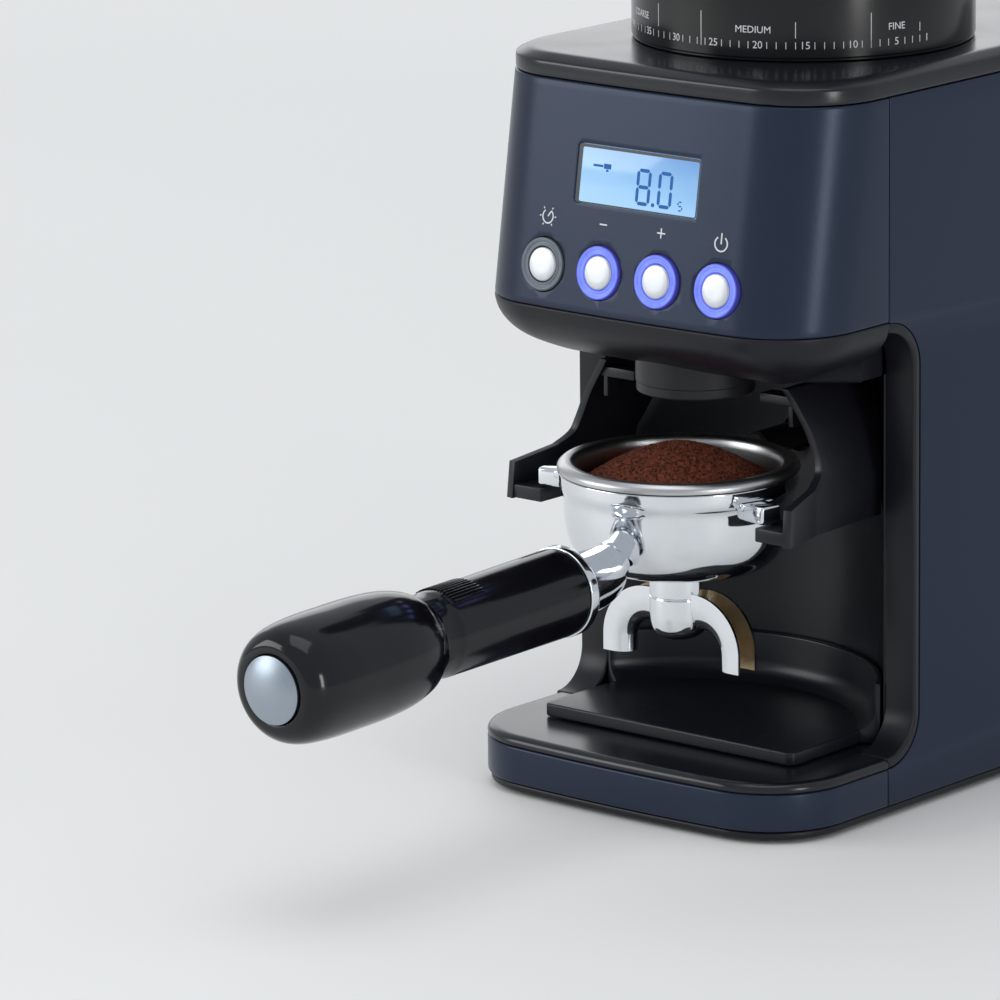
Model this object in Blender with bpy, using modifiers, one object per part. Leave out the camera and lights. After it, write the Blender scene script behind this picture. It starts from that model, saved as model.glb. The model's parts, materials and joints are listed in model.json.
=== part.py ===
"""A burr coffee grinder with its portafilter docked in the cradle, built as an assembly of separate pieces.

Metres, +Z up, the front facing -Y. The grinder stands on z = 0. In this script the burr axis is x = y = 0.
One empty carries every piece, and shifts them so that the whole model is centred over the world origin.
"""

import math

import bmesh
import bpy
from mathutils import Matrix, Vector

# ---------------------------------------------------------------- driving dimensions
FIT = 0.0003  # clearance between two pieces that touch
SHEET = 0.0015  # painted steel of the body

BODY_WIDTH = 0.126
BODY_REAR = 0.105
CORNER_RADIUS = 0.026
REAR_RADIUS = 0.022
FRONT_BOW = 0.00115  # how far the front face stands out in its middle
SEAM_Y = -0.0408  # joint line between the front pieces and the rear shell

PAN_BOTTOM = 0.0012
PAN_TOP = 0.0036
BAND_TOP = 0.0150
COVER_TOP = 0.0182
BASE_FRONT = -0.0904
FOOT_RADIUS = 0.009

HEAD_BOTTOM = 0.1480
HEAD_TOP = 0.2132
HEAD_FRONT_LOW = -0.0849
HEAD_FRONT_HIGH = -0.0746
TRIM_BOTTOM = 0.1290
LID_EDGE = 0.0048
LID_RISE = 0.0068  # from the panel's top edge to the lid's top

RECESS_RADIUS = 0.0600  # concave wall behind the portafilter
LIP_INNER = 0.0522  # half the width of the recess
COLUMN_WALL = 0.0018
LIP_DEPTH = 0.0031  # side trims, front to back
LIP_FRONT = -0.0289

BUTTON_COUNT = 4
BUTTON_PITCH = 0.0214
BUTTON_X = 0.0005
BUTTON_DROP = 0.811  # share of the way down the front panel
RING_RADIUS = 0.0079
CAP_RADIUS = 0.0051
CAP_TRAVEL = 0.0010
SWITCH_TOP = -0.0086  # below the panel's face
DISPLAY_WIDTH = 0.0448
DISPLAY_HEIGHT = 0.0171
DISPLAY_X = 0.0004
DISPLAY_DROP = 0.388

COLLAR_RADIUS = 0.0506
COLLAR_WALL = 0.0044
COLLAR_HEIGHT = 0.0300
HOPPER_WALL = 0.0022
HOPPER_HEIGHT = 0.0850
HOPPER_OUTLET = 0.0180
HOPPER_LID_HEIGHT = 0.0120

CHAMBER_RADIUS = 0.0380
CHAMBER_WALL = 0.0045
CHAMBER_FLOOR = 0.1620
CHAMBER_TOP = 0.2100
SHAFT_RADIUS = 0.0040
OUTER_BURR_RADIUS = 0.0240
CONE_RADIUS = 0.0190
CONE_BASE = 0.1730
CONE_HEIGHT = 0.0270
MOTOR_SETBACK = 0.0140  # from the burr axis to the motor's front
CHUTE_JOINT = 0.0011  # the spout meets the chute this far above the head's underside, below the gears
GEAR_TEETH = 48
PINION_TEETH = 12
GEAR_BASE = 0.1496
GEAR_WIDTH = 0.0080
PLATE_SIDE = 0.112
MOTOR_RADIUS = 0.0260
MOTOR_SHAFT_RADIUS = 0.0030
MOTOR_BOTTOM = 0.0650

SPOUT_Y = -0.0512
SPOUT_RADIUS = 0.0177
SPOUT_WALL = 0.0025
SPOUT_BOTTOM = 0.1220
CHUTE_RADIUS = 0.0125

FILTER_Y = -0.0594  # portafilter axis
RIM_RADIUS = 0.0356
RIM_TOP = 0.1027
LUG_TURN = 14  # degrees, towards the front
LUG_REACH = 0.0385  # from the filter's axis to a lug's middle
LUG_HEIGHT = 0.0060
BOWL_BOTTOM = 0.0700
BASKET_RADIUS = 0.0308
BASKET_WALL = 0.0008
HANDLE_Z = 0.0732  # where the grip starts; its axis sinks a little towards the knob
HANDLE_START = -0.1153
HANDLE_LENGTH = 0.12225
HANDLE_SLOPE = 1.6  # degrees
HANDLE_RADIUS = 0.0130
FERRULE_LENGTH = 0.0045
END_CAP_HEIGHT = 0.0030
KNOB_RADIUS = 0.0180
OUTLET_REACH = 0.0207
OUTLET_RADIUS = 0.0043
OUTLET_BEND = 0.0125
OUTLET_BOTTOM = 0.0420
MOUND_PEAK = 0.1085

CRADLE_TOP = 0.1265
CRADLE_BOTTOM = 0.0862
CRADLE_WALL = 0.0025
LEDGE_TOP = 0.0905
LEDGE_INNER = 0.0400
PLUNGER_RADIUS = 0.0040
PLUNGER_Z = 0.1000
PLUNGER_TRAVEL = 0.0025

TRAY_FRONT = -0.0660
TRAY_HALF_WIDTH = 0.0470
TRAY_CORNER = 0.0025
TRAY_STEP = 0.0043
TRAY_WALL_TOP = 0.0367
TRAY_WALL = 0.0018

VENT_COUNT = 6
VENT_PITCH = 0.008
VENT_BOTTOM = 0.045
GLAND_X = 0.038
GLAND_Z = 0.024
GLAND_LIP = 0.0030  # how far it stands out of the back

# ---------------------------------------------------------------- values worked out from those
HALF_WIDTH = BODY_WIDTH / 2
LIP_BACK = LIP_FRONT + LIP_DEPTH
LIP_RADIUS = LIP_FRONT - SEAM_Y - FIT / 2
NOTCH_RADIUS = LIP_BACK - SEAM_Y
PANEL_RUN = HEAD_FRONT_HIGH - HEAD_FRONT_LOW
PANEL_RISE = HEAD_TOP - HEAD_BOTTOM
PANEL_LENGTH = math.hypot(PANEL_RUN, PANEL_RISE)
PANEL_TILT = math.atan2(PANEL_RISE, PANEL_RUN)
LID_TOP = HEAD_TOP + LID_RISE
LID_HOLE_RADIUS = COLLAR_RADIUS - 0.0036
COLLAR_BASE = LID_TOP + FIT
HOPPER_RADIUS = COLLAR_RADIUS - 0.0011
HOPPER_BASE = COLLAR_BASE + COLLAR_HEIGHT + FIT
HOPPER_TOP = HOPPER_BASE + HOPPER_HEIGHT
GEAR_DISTANCE = MOTOR_RADIUS + MOTOR_SETBACK
GEAR_MODULE = 2 * GEAR_DISTANCE / (GEAR_TEETH + PINION_TEETH)
PLATE_BASE = GEAR_BASE + GEAR_WIDTH + 0.0012
PLATE_TOP = CHAMBER_FLOOR - FIT
MOTOR_TOP = GEAR_BASE - 0.0030
HANDLE_REACH = (HANDLE_LENGTH + END_CAP_HEIGHT) * math.cos(math.radians(HANDLE_SLOPE))
MODEL_CENTRE_Y = (BODY_REAR + GLAND_LIP + HANDLE_START - HANDLE_REACH) / 2
CRADLE_OUTER = RECESS_RADIUS - 0.0010
PLUNGER_FRONT = FILTER_Y + RIM_RADIUS + 0.0006
PLUNGER_BACK = FILTER_Y + RECESS_RADIUS + COLUMN_WALL + 0.0034


# ---------------------------------------------------------------- scene and helpers
def clear_scene():
    for obj in list(bpy.data.objects):
        bpy.data.objects.remove(obj, do_unlink=True)


def new_collection(name):
    collection = bpy.data.collections.new(name)
    bpy.context.scene.collection.children.link(collection)
    return collection


clear_scene()
GRINDER = new_collection("burr_coffee_grinder")
CUTTERS = new_collection("cutters")
CUTTERS.hide_render = True

FRAME = bpy.data.objects.new("grinder_frame", None)
GRINDER.objects.link(FRAME)
FRAME.location = (0, -MODEL_CENTRE_Y, 0)


def material(name, colour, roughness, metallic=0.0, alpha=1.0):
    made = bpy.data.materials.new(name)
    made.use_nodes = True
    shader = made.node_tree.nodes["Principled BSDF"]
    shader.inputs["Base Color"].default_value = (*colour, 1)
    shader.inputs["Roughness"].default_value = roughness
    shader.inputs["Metallic"].default_value = metallic
    shader.inputs["Alpha"].default_value = alpha
    return made


PAINT = material("painted_steel", (0.030, 0.038, 0.052), 0.35, 0.6)
BLACK = material("black_plastic", (0.018, 0.018, 0.020), 0.45)
DARK = material("dark_grey_plastic", (0.050, 0.050, 0.055), 0.5)
RUBBER = material("foot_rubber", (0.015, 0.015, 0.015), 0.9)
GLASS = material("display_glass", (0.45, 0.70, 0.95), 0.1)
MODULE = material("display_module", (0.55, 0.60, 0.62), 0.5)
BOARD = material("circuit_board", (0.02, 0.16, 0.07), 0.5)
GLOW = material("light_ring", (0.30, 0.36, 0.95), 0.3)
SILVER = material("button_cap_metal", (0.78, 0.80, 0.83), 0.25, 0.9)
CLEAR = material("smoked_hopper", (0.10, 0.10, 0.11), 0.1, 0.0, 0.4)
STEEL = material("machined_steel", (0.55, 0.55, 0.56), 0.3, 1.0)
BRASS = material("brass_gear", (0.65, 0.48, 0.20), 0.35, 1.0)
MOTOR = material("motor_steel", (0.35, 0.36, 0.38), 0.4, 1.0)
CHROME = material("chrome", (0.85, 0.86, 0.88), 0.06, 1.0)
GLOSS = material("gloss_handle", (0.010, 0.010, 0.012), 0.12)
BRUSHED = material("brushed_steel", (0.62, 0.62, 0.62), 0.3, 1.0)
COFFEE = material("ground_coffee", (0.10, 0.035, 0.018), 0.95)


def finish(name, mesh, look, parent=FRAME, collection=GRINDER, smooth=40):
    """Links a mesh as a named object under its parent, shaded smooth below the given angle."""
    obj = bpy.data.objects.new(name, mesh)
    collection.objects.link(obj)
    if look:
        mesh.materials.append(look)
    if smooth:
        mesh.shade_smooth()
        mesh.set_sharp_from_angle(angle=math.radians(smooth))
    obj.parent = parent
    if collection is CUTTERS:
        obj.hide_render = True
        obj.display_type = "WIRE"
    return obj


def empty(name, location, rotation=(0, 0, 0), parent=FRAME):
    obj = bpy.data.objects.new(name, None)
    GRINDER.objects.link(obj)
    obj.parent = parent
    obj.location = location
    obj.rotation_euler = rotation
    return obj


def mesh_from(bm, name, outward=True):
    if outward:
        bmesh.ops.recalc_face_normals(bm, faces=bm.faces)
    mesh = bpy.data.meshes.new(name)
    bm.to_mesh(mesh)
    bm.free()
    return mesh


def arc(centre, radius, start, end, steps):
    """Points of an arc in a plane, from one angle in degrees to another, ends included."""
    angles = [math.radians(start + (end - start) * i / steps) for i in range(steps + 1)]
    return [(centre[0] + radius * math.cos(a), centre[1] + radius * math.sin(a)) for a in angles]


def ring_layers(bm, layers, closed):
    """Joins layers of equally many points with quads, counter-clockwise layers facing out."""
    rows = [[bm.verts.new(point) for point in layer] for layer in layers]
    count = len(rows[0])
    spans = count if closed else count - 1
    for low, high in zip(rows, rows[1:]):
        for i in range(spans):
            j = (i + 1) % count
            bm.faces.new((low[i], low[j], high[j], high[i]))
    return rows


def loft(name, layers, look, cap_bottom=True, cap_top=True, closed=True, **options):
    """A skin through layers of points, from the lowest to the highest."""
    bm = bmesh.new()
    rows = ring_layers(bm, layers, closed)
    if cap_bottom:
        bm.faces.new(list(reversed(rows[0])))
    if cap_top:
        bm.faces.new(rows[-1])
    whole = closed and cap_bottom and cap_top
    return finish(name, mesh_from(bm, name, outward=whole), look, **options)


def layer(outline, z):
    return [(x, y, z) for x, y in outline]


def prism(name, outline, low, high, look, **options):
    return loft(name, [layer(outline, low), layer(outline, high)], look, **options)


def box(name, size, centre, look, bevel=0.0, **options):
    bm = bmesh.new()
    bmesh.ops.create_cube(bm, size=1.0)
    bmesh.ops.scale(bm, vec=Vector(size), verts=bm.verts)
    obj = finish(name, mesh_from(bm, name), look, **options)
    obj.location = centre
    if bevel:
        modifier = obj.modifiers.new("rounded_edges", "BEVEL")
        modifier.width = bevel
        modifier.segments = 2
    return obj


def cylinder(name, radius, low, high, look, centre=(0, 0), steps=32, **options):
    bm = bmesh.new()
    bmesh.ops.create_cone(
        bm, cap_ends=True, segments=steps, radius1=radius, radius2=radius, depth=high - low
    )
    obj = finish(name, mesh_from(bm, name), look, **options)
    obj.location = (*centre, (low + high) / 2)
    return obj


def turned(name, profile, look, centre=(0, 0, 0), steps=28, ring=False, rotation=(0, 0, 0), **options):
    """Turns (radius, height) points about Z. The points run down the outer side; a ring joins its ends."""
    mesh = bpy.data.meshes.new(name)
    count = len(profile)
    edges = [(i, i + 1) for i in range(count - 1)]
    if ring:
        edges.append((count - 1, 0))
    mesh.from_pydata([(r, 0, z) for r, z in profile], edges, [])
    options["smooth"] = 0
    obj = finish(name, mesh, look, **options)
    obj.location = centre
    obj.rotation_euler = rotation
    modifier = obj.modifiers.new("turned", "SCREW")
    modifier.steps = steps
    modifier.render_steps = steps
    modifier.use_merge_vertices = True
    modifier.merge_threshold = 0.00001
    return obj


def tube_profile(outer, inner, low, high, edge=0.0):
    """A ring's section, from the top of its outer side round to the top of its inner side."""
    return [
        (outer - edge, high), (outer, high - edge), (outer, low + edge), (outer - edge, low),
        (inner + edge, low), (inner, low + edge), (inner, high - edge), (inner + edge, high),
    ] if edge else [(outer, high), (outer, low), (inner, low), (inner, high)]


def solidify(obj, thickness, offset=-1.0):
    modifier = obj.modifiers.new("wall", "SOLIDIFY")
    modifier.thickness = thickness
    modifier.offset = offset
    modifier.use_even_offset = True
    return obj


def cut(obj, cutter, operation="DIFFERENCE"):
    modifier = obj.modifiers.new(cutter.name, "BOOLEAN")
    modifier.operation = operation
    modifier.object = cutter
    modifier.solver = "EXACT"
    return obj


def cutter_options(parent=FRAME):
    return {"look": None, "collection": CUTTERS, "parent": parent, "smooth": 0}


def level_hole(name, radius, reach, centre):
    """A cutter for a round hole that runs from front to back."""
    section = [(0, reach), (radius, reach), (radius, -reach), (0, -reach)]
    facing = (math.radians(90), 0, 0)
    return turned(name, section, centre=centre, rotation=facing, steps=24, **cutter_options())


# ---------------------------------------------------------------- outlines of the body, seen from above
def front_outline(front, inset=0.0, seam_x=None):
    """Left seam, front corner, bowed front, front corner, right seam. inset shrinks it evenly."""
    radius = max(CORNER_RADIUS - inset, 0.002)
    flat = HALF_WIDTH - inset - radius
    corner_y = front + FRONT_BOW + inset + radius
    side = max(HALF_WIDTH - inset, seam_x or 0)
    right = arc((flat, corner_y), radius, -90, 0, 8)
    bow = []
    for i in range(1, 6):
        x = flat * (i / 3 - 1)
        bow.append((x, front + inset + FRONT_BOW * (x / flat) ** 2))
    left = [(-x, y) for x, y in reversed(right)]
    return [(-side, SEAM_Y - FIT / 2), *left, *bow, *right, (side, SEAM_Y - FIT / 2)]


def rear_outline(inset=0.0):
    """Right seam, rear corners, left seam."""
    radius = REAR_RADIUS - inset
    flat = HALF_WIDTH - inset - radius
    back = BODY_REAR - inset - radius
    right = arc((flat, back), radius, 0, 90, 6)
    left = [(-x, y) for x, y in reversed(right)]
    return [(HALF_WIDTH - inset, SEAM_Y + FIT / 2), *right, *left, (-HALF_WIDTH + inset, SEAM_Y + FIT / 2)]


def whole_outline(front, inset=0.0):
    return [*front_outline(front, inset), *rear_outline(inset)]


def recess_arc(radius, half_width, steps=20):
    """Points from right to left round the back of the recess, a circle about the portafilter axis."""
    angle = math.degrees(math.acos(half_width / radius))
    return arc((0, FILTER_Y), radius, angle, 180 - angle, steps)


def recess_tail(half_width):
    """Closes a front outline behind the seam: in to the side trims, then round the recess wall."""
    back = recess_arc(RECESS_RADIUS - FIT, half_width)
    return [(half_width, SEAM_Y - FIT / 2), *back, (-half_width, SEAM_Y - FIT / 2)]


# ---------------------------------------------------------------- base
def make_feet_and_pan():
    pan = prism("base_pan", whole_outline(BASE_FRONT, 0.0010), PAN_BOTTOM, PAN_TOP, BLACK)
    spots = [(-0.040, BASE_FRONT + 0.018), (0.040, BASE_FRONT + 0.018)]
    spots += [(-0.044, BODY_REAR - 0.018), (0.044, BODY_REAR - 0.018)]
    for number, spot in enumerate(spots, 1):
        cylinder(f"foot_{number}", FOOT_RADIUS, 0, PAN_TOP - FIT, RUBBER, spot, 24)
        hole = cylinder(
            f"foot_hole_{number}", FOOT_RADIUS + FIT, -0.01, 0.02, centre=spot, steps=24, **cutter_options()
        )
        cut(pan, hole)


def make_base():
    band_layers = [layer(front_outline(BASE_FRONT), z) for z in (PAN_TOP + FIT, BAND_TOP)]
    band = loft("base_band", band_layers, PAINT, cap_bottom=False, cap_top=False, closed=False)
    solidify(band, SHEET)
    side = LIP_INNER - FIT
    layers = []
    for z, inset in ((BAND_TOP + FIT, 0.0), (BAND_TOP + 0.0014, 0.0), (COVER_TOP, 0.0016)):
        layers.append(layer([*front_outline(BASE_FRONT, inset), *recess_tail(side)], z))
    loft("base_cover", layers, BLACK)


def make_side_trims():
    """The C-shaped lips that edge the recess on both sides of the body."""
    low = BAND_TOP + FIT
    high = HEAD_BOTTOM - FIT
    outer_radius = NOTCH_RADIUS - 1.5 * FIT
    for side, name in ((-1, "side_trim_left"), (1, "side_trim_right")):
        back = LIP_BACK - FIT
        outer = [
            *arc((back - outer_radius, low + outer_radius), outer_radius, -90, 0, 8),
            *arc((back - outer_radius, high - outer_radius), outer_radius, 0, 90, 8),
        ]
        front = LIP_FRONT
        inner = [
            *arc((front - LIP_RADIUS, high - LIP_DEPTH - LIP_RADIUS), LIP_RADIUS, 90, 0, 8),
            *arc((front - LIP_RADIUS, low + LIP_DEPTH + LIP_RADIUS), LIP_RADIUS, 0, -90, 8),
        ]
        shape = [*outer, *inner]
        x_low, x_high = sorted((side * LIP_INNER, side * HALF_WIDTH))
        layers = [[(x, y, z) for y, z in shape] for x in (x_low, x_high)]
        loft(name, layers, BLACK)


def make_column_wall():
    end = (LIP_INNER - FIT) * RECESS_RADIUS / (RECESS_RADIUS + COLUMN_WALL)
    path = list(reversed(recess_arc(RECESS_RADIUS, end, 24)))
    layers = [layer(path, z) for z in (PAN_TOP + FIT, TRIM_BOTTOM - FIT)]
    wall = loft("column_wall", layers, BLACK, cap_bottom=False, cap_top=False, closed=False)
    solidify(wall, COLUMN_WALL)
    cut(wall, level_hole("plunger_hole", PLUNGER_RADIUS + 0.0008, 0.03, (0, 0, PLUNGER_Z)))


def make_rear_shell():
    layers = [layer(rear_outline(), z) for z in (PAN_TOP + FIT, HEAD_TOP)]
    shell = loft("rear_shell", layers, PAINT, cap_bottom=False, cap_top=False, closed=False)
    solidify(shell, SHEET)
    radius = NOTCH_RADIUS
    shape = [
        (SEAM_Y - 0.02, BAND_TOP),
        *arc((LIP_BACK - radius, BAND_TOP + radius), radius, -90, 0, 8),
        *arc((LIP_BACK - radius, HEAD_BOTTOM - radius), radius, 0, 90, 8),
        (SEAM_Y - 0.02, HEAD_BOTTOM),
    ]
    layers = [[(x, y, z) for y, z in shape] for x in (-0.08, 0.08)]
    cut(shell, loft("recess_notch", layers, **cutter_options()))
    for row in range(VENT_COUNT):
        z = VENT_BOTTOM + row * VENT_PITCH
        slot = box(f"vent_slot_{row + 1}", (0.050, 0.02, 0.0032), (0, BODY_REAR, z), **cutter_options())
        cut(shell, slot)
    cut(shell, level_hole("gland_hole", 0.0050 + FIT, 0.02, (GLAND_X, BODY_REAR, GLAND_Z)))
    turned(
        "cable_gland",
        [
            (0.0032, GLAND_LIP), (0.0062, GLAND_LIP), (0.0072, GLAND_LIP - 0.0010), (0.0072, FIT),
            (0.0050, FIT), (0.0050, -0.0080), (0.0032, -0.0080),
        ],
        RUBBER, centre=(GLAND_X, BODY_REAR, GLAND_Z), rotation=(math.radians(-90), 0, 0), steps=24, ring=True,
    )


# ---------------------------------------------------------------- head
def make_front_panel():
    layers = [
        layer(front_outline(HEAD_FRONT_LOW), HEAD_BOTTOM + FIT / 2),
        layer(front_outline(HEAD_FRONT_HIGH), HEAD_TOP),
    ]
    panel = loft("front_panel", layers, PAINT, cap_bottom=False, cap_top=False, closed=False)
    solidify(panel, SHEET)
    opening = box(
        "display_opening", (DISPLAY_WIDTH + 2 * FIT, DISPLAY_HEIGHT + 2 * FIT, 0.03),
        panel_point(DISPLAY_X, DISPLAY_DROP), **cutter_options(PANEL),
    )
    cut(panel, opening)
    for number, x in enumerate(button_places(), 1):
        hole = cylinder(f"button_hole_{number}", RING_RADIUS + FIT, -0.02, 0.02, **cutter_options(PANEL))
        hole.location = panel_point(x, BUTTON_DROP)
        cut(panel, hole)


def panel_point(x, drop, height=0.0):
    """A point in the panel's own frame: x across, y up the panel, z out of it."""
    return (x, PANEL_LENGTH * (0.5 - drop), height)


def panel_bow(x):
    flat = HALF_WIDTH - CORNER_RADIUS
    return -FRONT_BOW * (x / flat) ** 2


def button_places():
    return [BUTTON_X + BUTTON_PITCH * (i - (BUTTON_COUNT - 1) / 2) for i in range(BUTTON_COUNT)]


def make_panel_parts():
    size = (DISPLAY_WIDTH, DISPLAY_HEIGHT, 0.0014)
    box("lcd_window", size, panel_point(DISPLAY_X, DISPLAY_DROP, -0.0011), GLASS, 0.0003, parent=PANEL)
    size = (DISPLAY_WIDTH + 0.006, DISPLAY_HEIGHT + 0.006, 0.0040)
    box("lcd_module", size, panel_point(DISPLAY_X, DISPLAY_DROP, -0.0045), MODULE, parent=PANEL)
    board_size = (0.084, 0.79 * PANEL_LENGTH, 0.0016)
    board = box("control_board", board_size, (0, -0.004, -0.0110), BOARD, parent=PANEL)
    for number, x in enumerate(button_places(), 1):
        out = panel_bow(x)
        ring = tube_profile(RING_RADIUS, CAP_RADIUS + FIT, -0.0045, 0.0009, 0.0005)
        turned(f"button_ring_{number}", ring, GLOW, panel_point(x, BUTTON_DROP, out), 20, True, parent=PANEL)
        cap = [(0, 0.0012), (0.0030, 0.0011), (CAP_RADIUS - 0.0004, 0.0008), (CAP_RADIUS, 0.0004)]
        tail = SWITCH_TOP + CAP_TRAVEL + 0.0005 - panel_bow(max(button_places()))
        cap += [(CAP_RADIUS, tail), (0, tail)]
        turned(f"button_cap_{number}", cap, SILVER, panel_point(x, BUTTON_DROP, out), 20, parent=PANEL)
        spot = panel_point(x, BUTTON_DROP, SWITCH_TOP - 0.0012)
        switch = box(f"switch_{number}", (0.006, 0.006, 0.0024), spot, **cutter_options(PANEL))
        cut(board, switch, "UNION")


def make_head_trim():
    """The black tub that closes the head from below, its front swept back to the underside."""
    side = LIP_INNER - FIT
    steps = [
        (TRIM_BOTTOM, 0.0290), (0.1308, 0.0210), (0.1330, 0.0150), (0.1355, 0.0093), (0.1400, 0.0037),
        (0.1432, 0.0012), (0.1458, 0.0000), (HEAD_BOTTOM - FIT / 2, 0.0000),
    ]
    layers = []
    for z, inset in steps:
        layers.append(layer([*front_outline(HEAD_FRONT_LOW, inset, side + 0.0010), *recess_tail(side)], z))
    tub = loft("head_trim", layers, BLACK, cap_top=False)
    solidify(tub, 0.0020)
    hole = cylinder("spout_hole", SPOUT_RADIUS + FIT, 0.10, 0.14, centre=(0, SPOUT_Y), **cutter_options())
    cut(tub, hole)


def make_top_cover():
    low = HEAD_TOP + FIT
    edge = low + LID_EDGE
    steps = [(low, 0.0002), (edge - 0.0006, 0.0002), (edge, 0.0006), (LID_TOP, 0.0042)]
    layers = [layer(whole_outline(HEAD_FRONT_HIGH, inset), z) for z, inset in steps]
    cover = loft("top_cover", layers, BLACK, cap_bottom=False)
    solidify(cover, 0.0022)
    hole = cylinder(
        "collar_hole", LID_HOLE_RADIUS, LID_TOP - 0.02, LID_TOP + 0.02, steps=48, **cutter_options()
    )
    cut(cover, hole)


# ---------------------------------------------------------------- grinding parts
def gear_outline(teeth, turned_by=0.0):
    """A spur gear's outline with straight-sided teeth, thinner than half the pitch for backlash."""
    pitch_radius = GEAR_MODULE * teeth / 2
    tip = pitch_radius + 0.80 * GEAR_MODULE
    root = pitch_radius - 1.15 * GEAR_MODULE
    pitch = 2 * math.pi / teeth
    points = []
    for tooth in range(teeth):
        middle = tooth * pitch + turned_by
        for radius, share in ((root, -0.30), (tip, -0.11), (tip, 0.11), (root, 0.30)):
            angle = middle + share * pitch
            points.append((radius * math.cos(angle), radius * math.sin(angle)))
    return points


def bored_gear(name, teeth, bore, look, parent, turned_by=0.0):
    outline = gear_outline(teeth, turned_by)
    gear = prism(name, outline, GEAR_BASE, GEAR_BASE + GEAR_WIDTH, look, parent=parent, smooth=0)
    hole = cylinder(f"{name}_bore", bore, 0.13, 0.18, steps=24, **cutter_options(parent))
    return cut(gear, hole)


def make_drive():
    spindle = empty("burr_axis", (0, 0, 0))
    cylinder("burr_shaft", SHAFT_RADIUS, 0.1482, 0.2080, STEEL, steps=24, parent=spindle)
    # The large gear has a gap where the pinion has a tooth, on the line between the two axes.
    bored_gear("drive_gear", GEAR_TEETH, SHAFT_RADIUS + FIT, BRASS, spindle, math.pi / GEAR_TEETH)
    bore = SHAFT_RADIUS + FIT
    cone_top = CONE_BASE + CONE_HEIGHT
    cone = [
        (bore + 0.0030, cone_top), (CONE_RADIUS, CONE_BASE + 0.0030), (CONE_RADIUS, CONE_BASE),
        (bore, CONE_BASE), (bore, cone_top),
    ]
    turned("inner_burr", cone, STEEL, steps=32, ring=True, parent=spindle)
    hub = tube_profile(CONE_RADIUS + 0.0010, bore, 0.1662, 0.1690)
    sweep = turned("sweeper", hub, STEEL, steps=32, ring=True, parent=spindle)
    for number in range(3):
        angle = 2 * math.pi * number / 3
        spot = Matrix.Rotation(angle, 4, "Z") @ Vector((0.0242, 0, 0.1683))
        arm = box(f"sweep_arm_{number + 1}", (0.0145, 0.0050, 0.0030), spot, **cutter_options(spindle))
        arm.rotation_euler = (0, 0, angle)
        cut(sweep, arm, "UNION")

    plate_size = (PLATE_SIDE, PLATE_SIDE, PLATE_TOP - PLATE_BASE)
    plate = box("gearbox_plate", plate_size, (0, 0.0195, (PLATE_TOP + PLATE_BASE) / 2), STEEL)
    bearing_hole = cylinder("bearing_hole", 0.0093, 0.15, 0.17, **cutter_options())
    cut(plate, bearing_hole)
    bearing = tube_profile(0.0090, SHAFT_RADIUS + FIT, PLATE_BASE, PLATE_TOP)
    turned("shaft_bearing", bearing, STEEL, steps=32, ring=True)

    motor_axis = empty("motor_axis", (0, GEAR_DISTANCE, 0))
    pinion_turn = -math.pi / 2
    bored_gear("motor_pinion", PINION_TEETH, MOTOR_SHAFT_RADIUS + FIT, STEEL, motor_axis, pinion_turn)
    cylinder("motor_shaft", MOTOR_SHAFT_RADIUS, MOTOR_TOP + FIT, 0.1580, STEEL, steps=24, parent=motor_axis)
    can = [
        (0, MOTOR_TOP), (0.0100, MOTOR_TOP), (0.0100, MOTOR_TOP - 0.0030),
        (MOTOR_RADIUS - 0.0020, MOTOR_TOP - 0.0030), (MOTOR_RADIUS, MOTOR_TOP - 0.0050),
        (MOTOR_RADIUS, MOTOR_BOTTOM + 0.0020), (MOTOR_RADIUS - 0.0020, MOTOR_BOTTOM), (0, MOTOR_BOTTOM),
    ]
    turned("motor_can", can, MOTOR, centre=(0, GEAR_DISTANCE, 0), steps=32)
    box("power_board", (0.080, 0.0016, 0.080), (0, BODY_REAR - 0.020, 0.080), BOARD)


def make_chamber():
    inner = CHAMBER_RADIUS - CHAMBER_WALL
    floor = CHAMBER_FLOOR + 0.0030
    section = [
        (CHAMBER_RADIUS, CHAMBER_TOP), (CHAMBER_RADIUS, CHAMBER_FLOOR), (0.0060, CHAMBER_FLOOR),
        (0.0060, floor), (inner, floor), (inner, CHAMBER_TOP),
    ]
    chamber = turned("grind_chamber", section, DARK, steps=32, ring=True)
    window = box("chamber_window", (0.018, 0.020, 0.013), (0, -0.036, floor + 0.0065), **cutter_options())
    cut(chamber, window)
    chute_top = floor + 0.0200
    section = tube_profile(CHUTE_RADIUS, CHUTE_RADIUS - 0.0020, HEAD_BOTTOM + CHUTE_JOINT, chute_top)
    chute = turned("grind_chute", section, DARK, centre=(0, SPOUT_Y, 0), steps=24, ring=True)
    cut(chute, window)
    bore = SPOUT_RADIUS - SPOUT_WALL
    section = tube_profile(SPOUT_RADIUS, bore, SPOUT_BOTTOM, HEAD_BOTTOM + CHUTE_JOINT - FIT, 0.0005)
    turned("chute_spout", section, DARK, centre=(0, SPOUT_Y, 0), ring=True)


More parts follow.
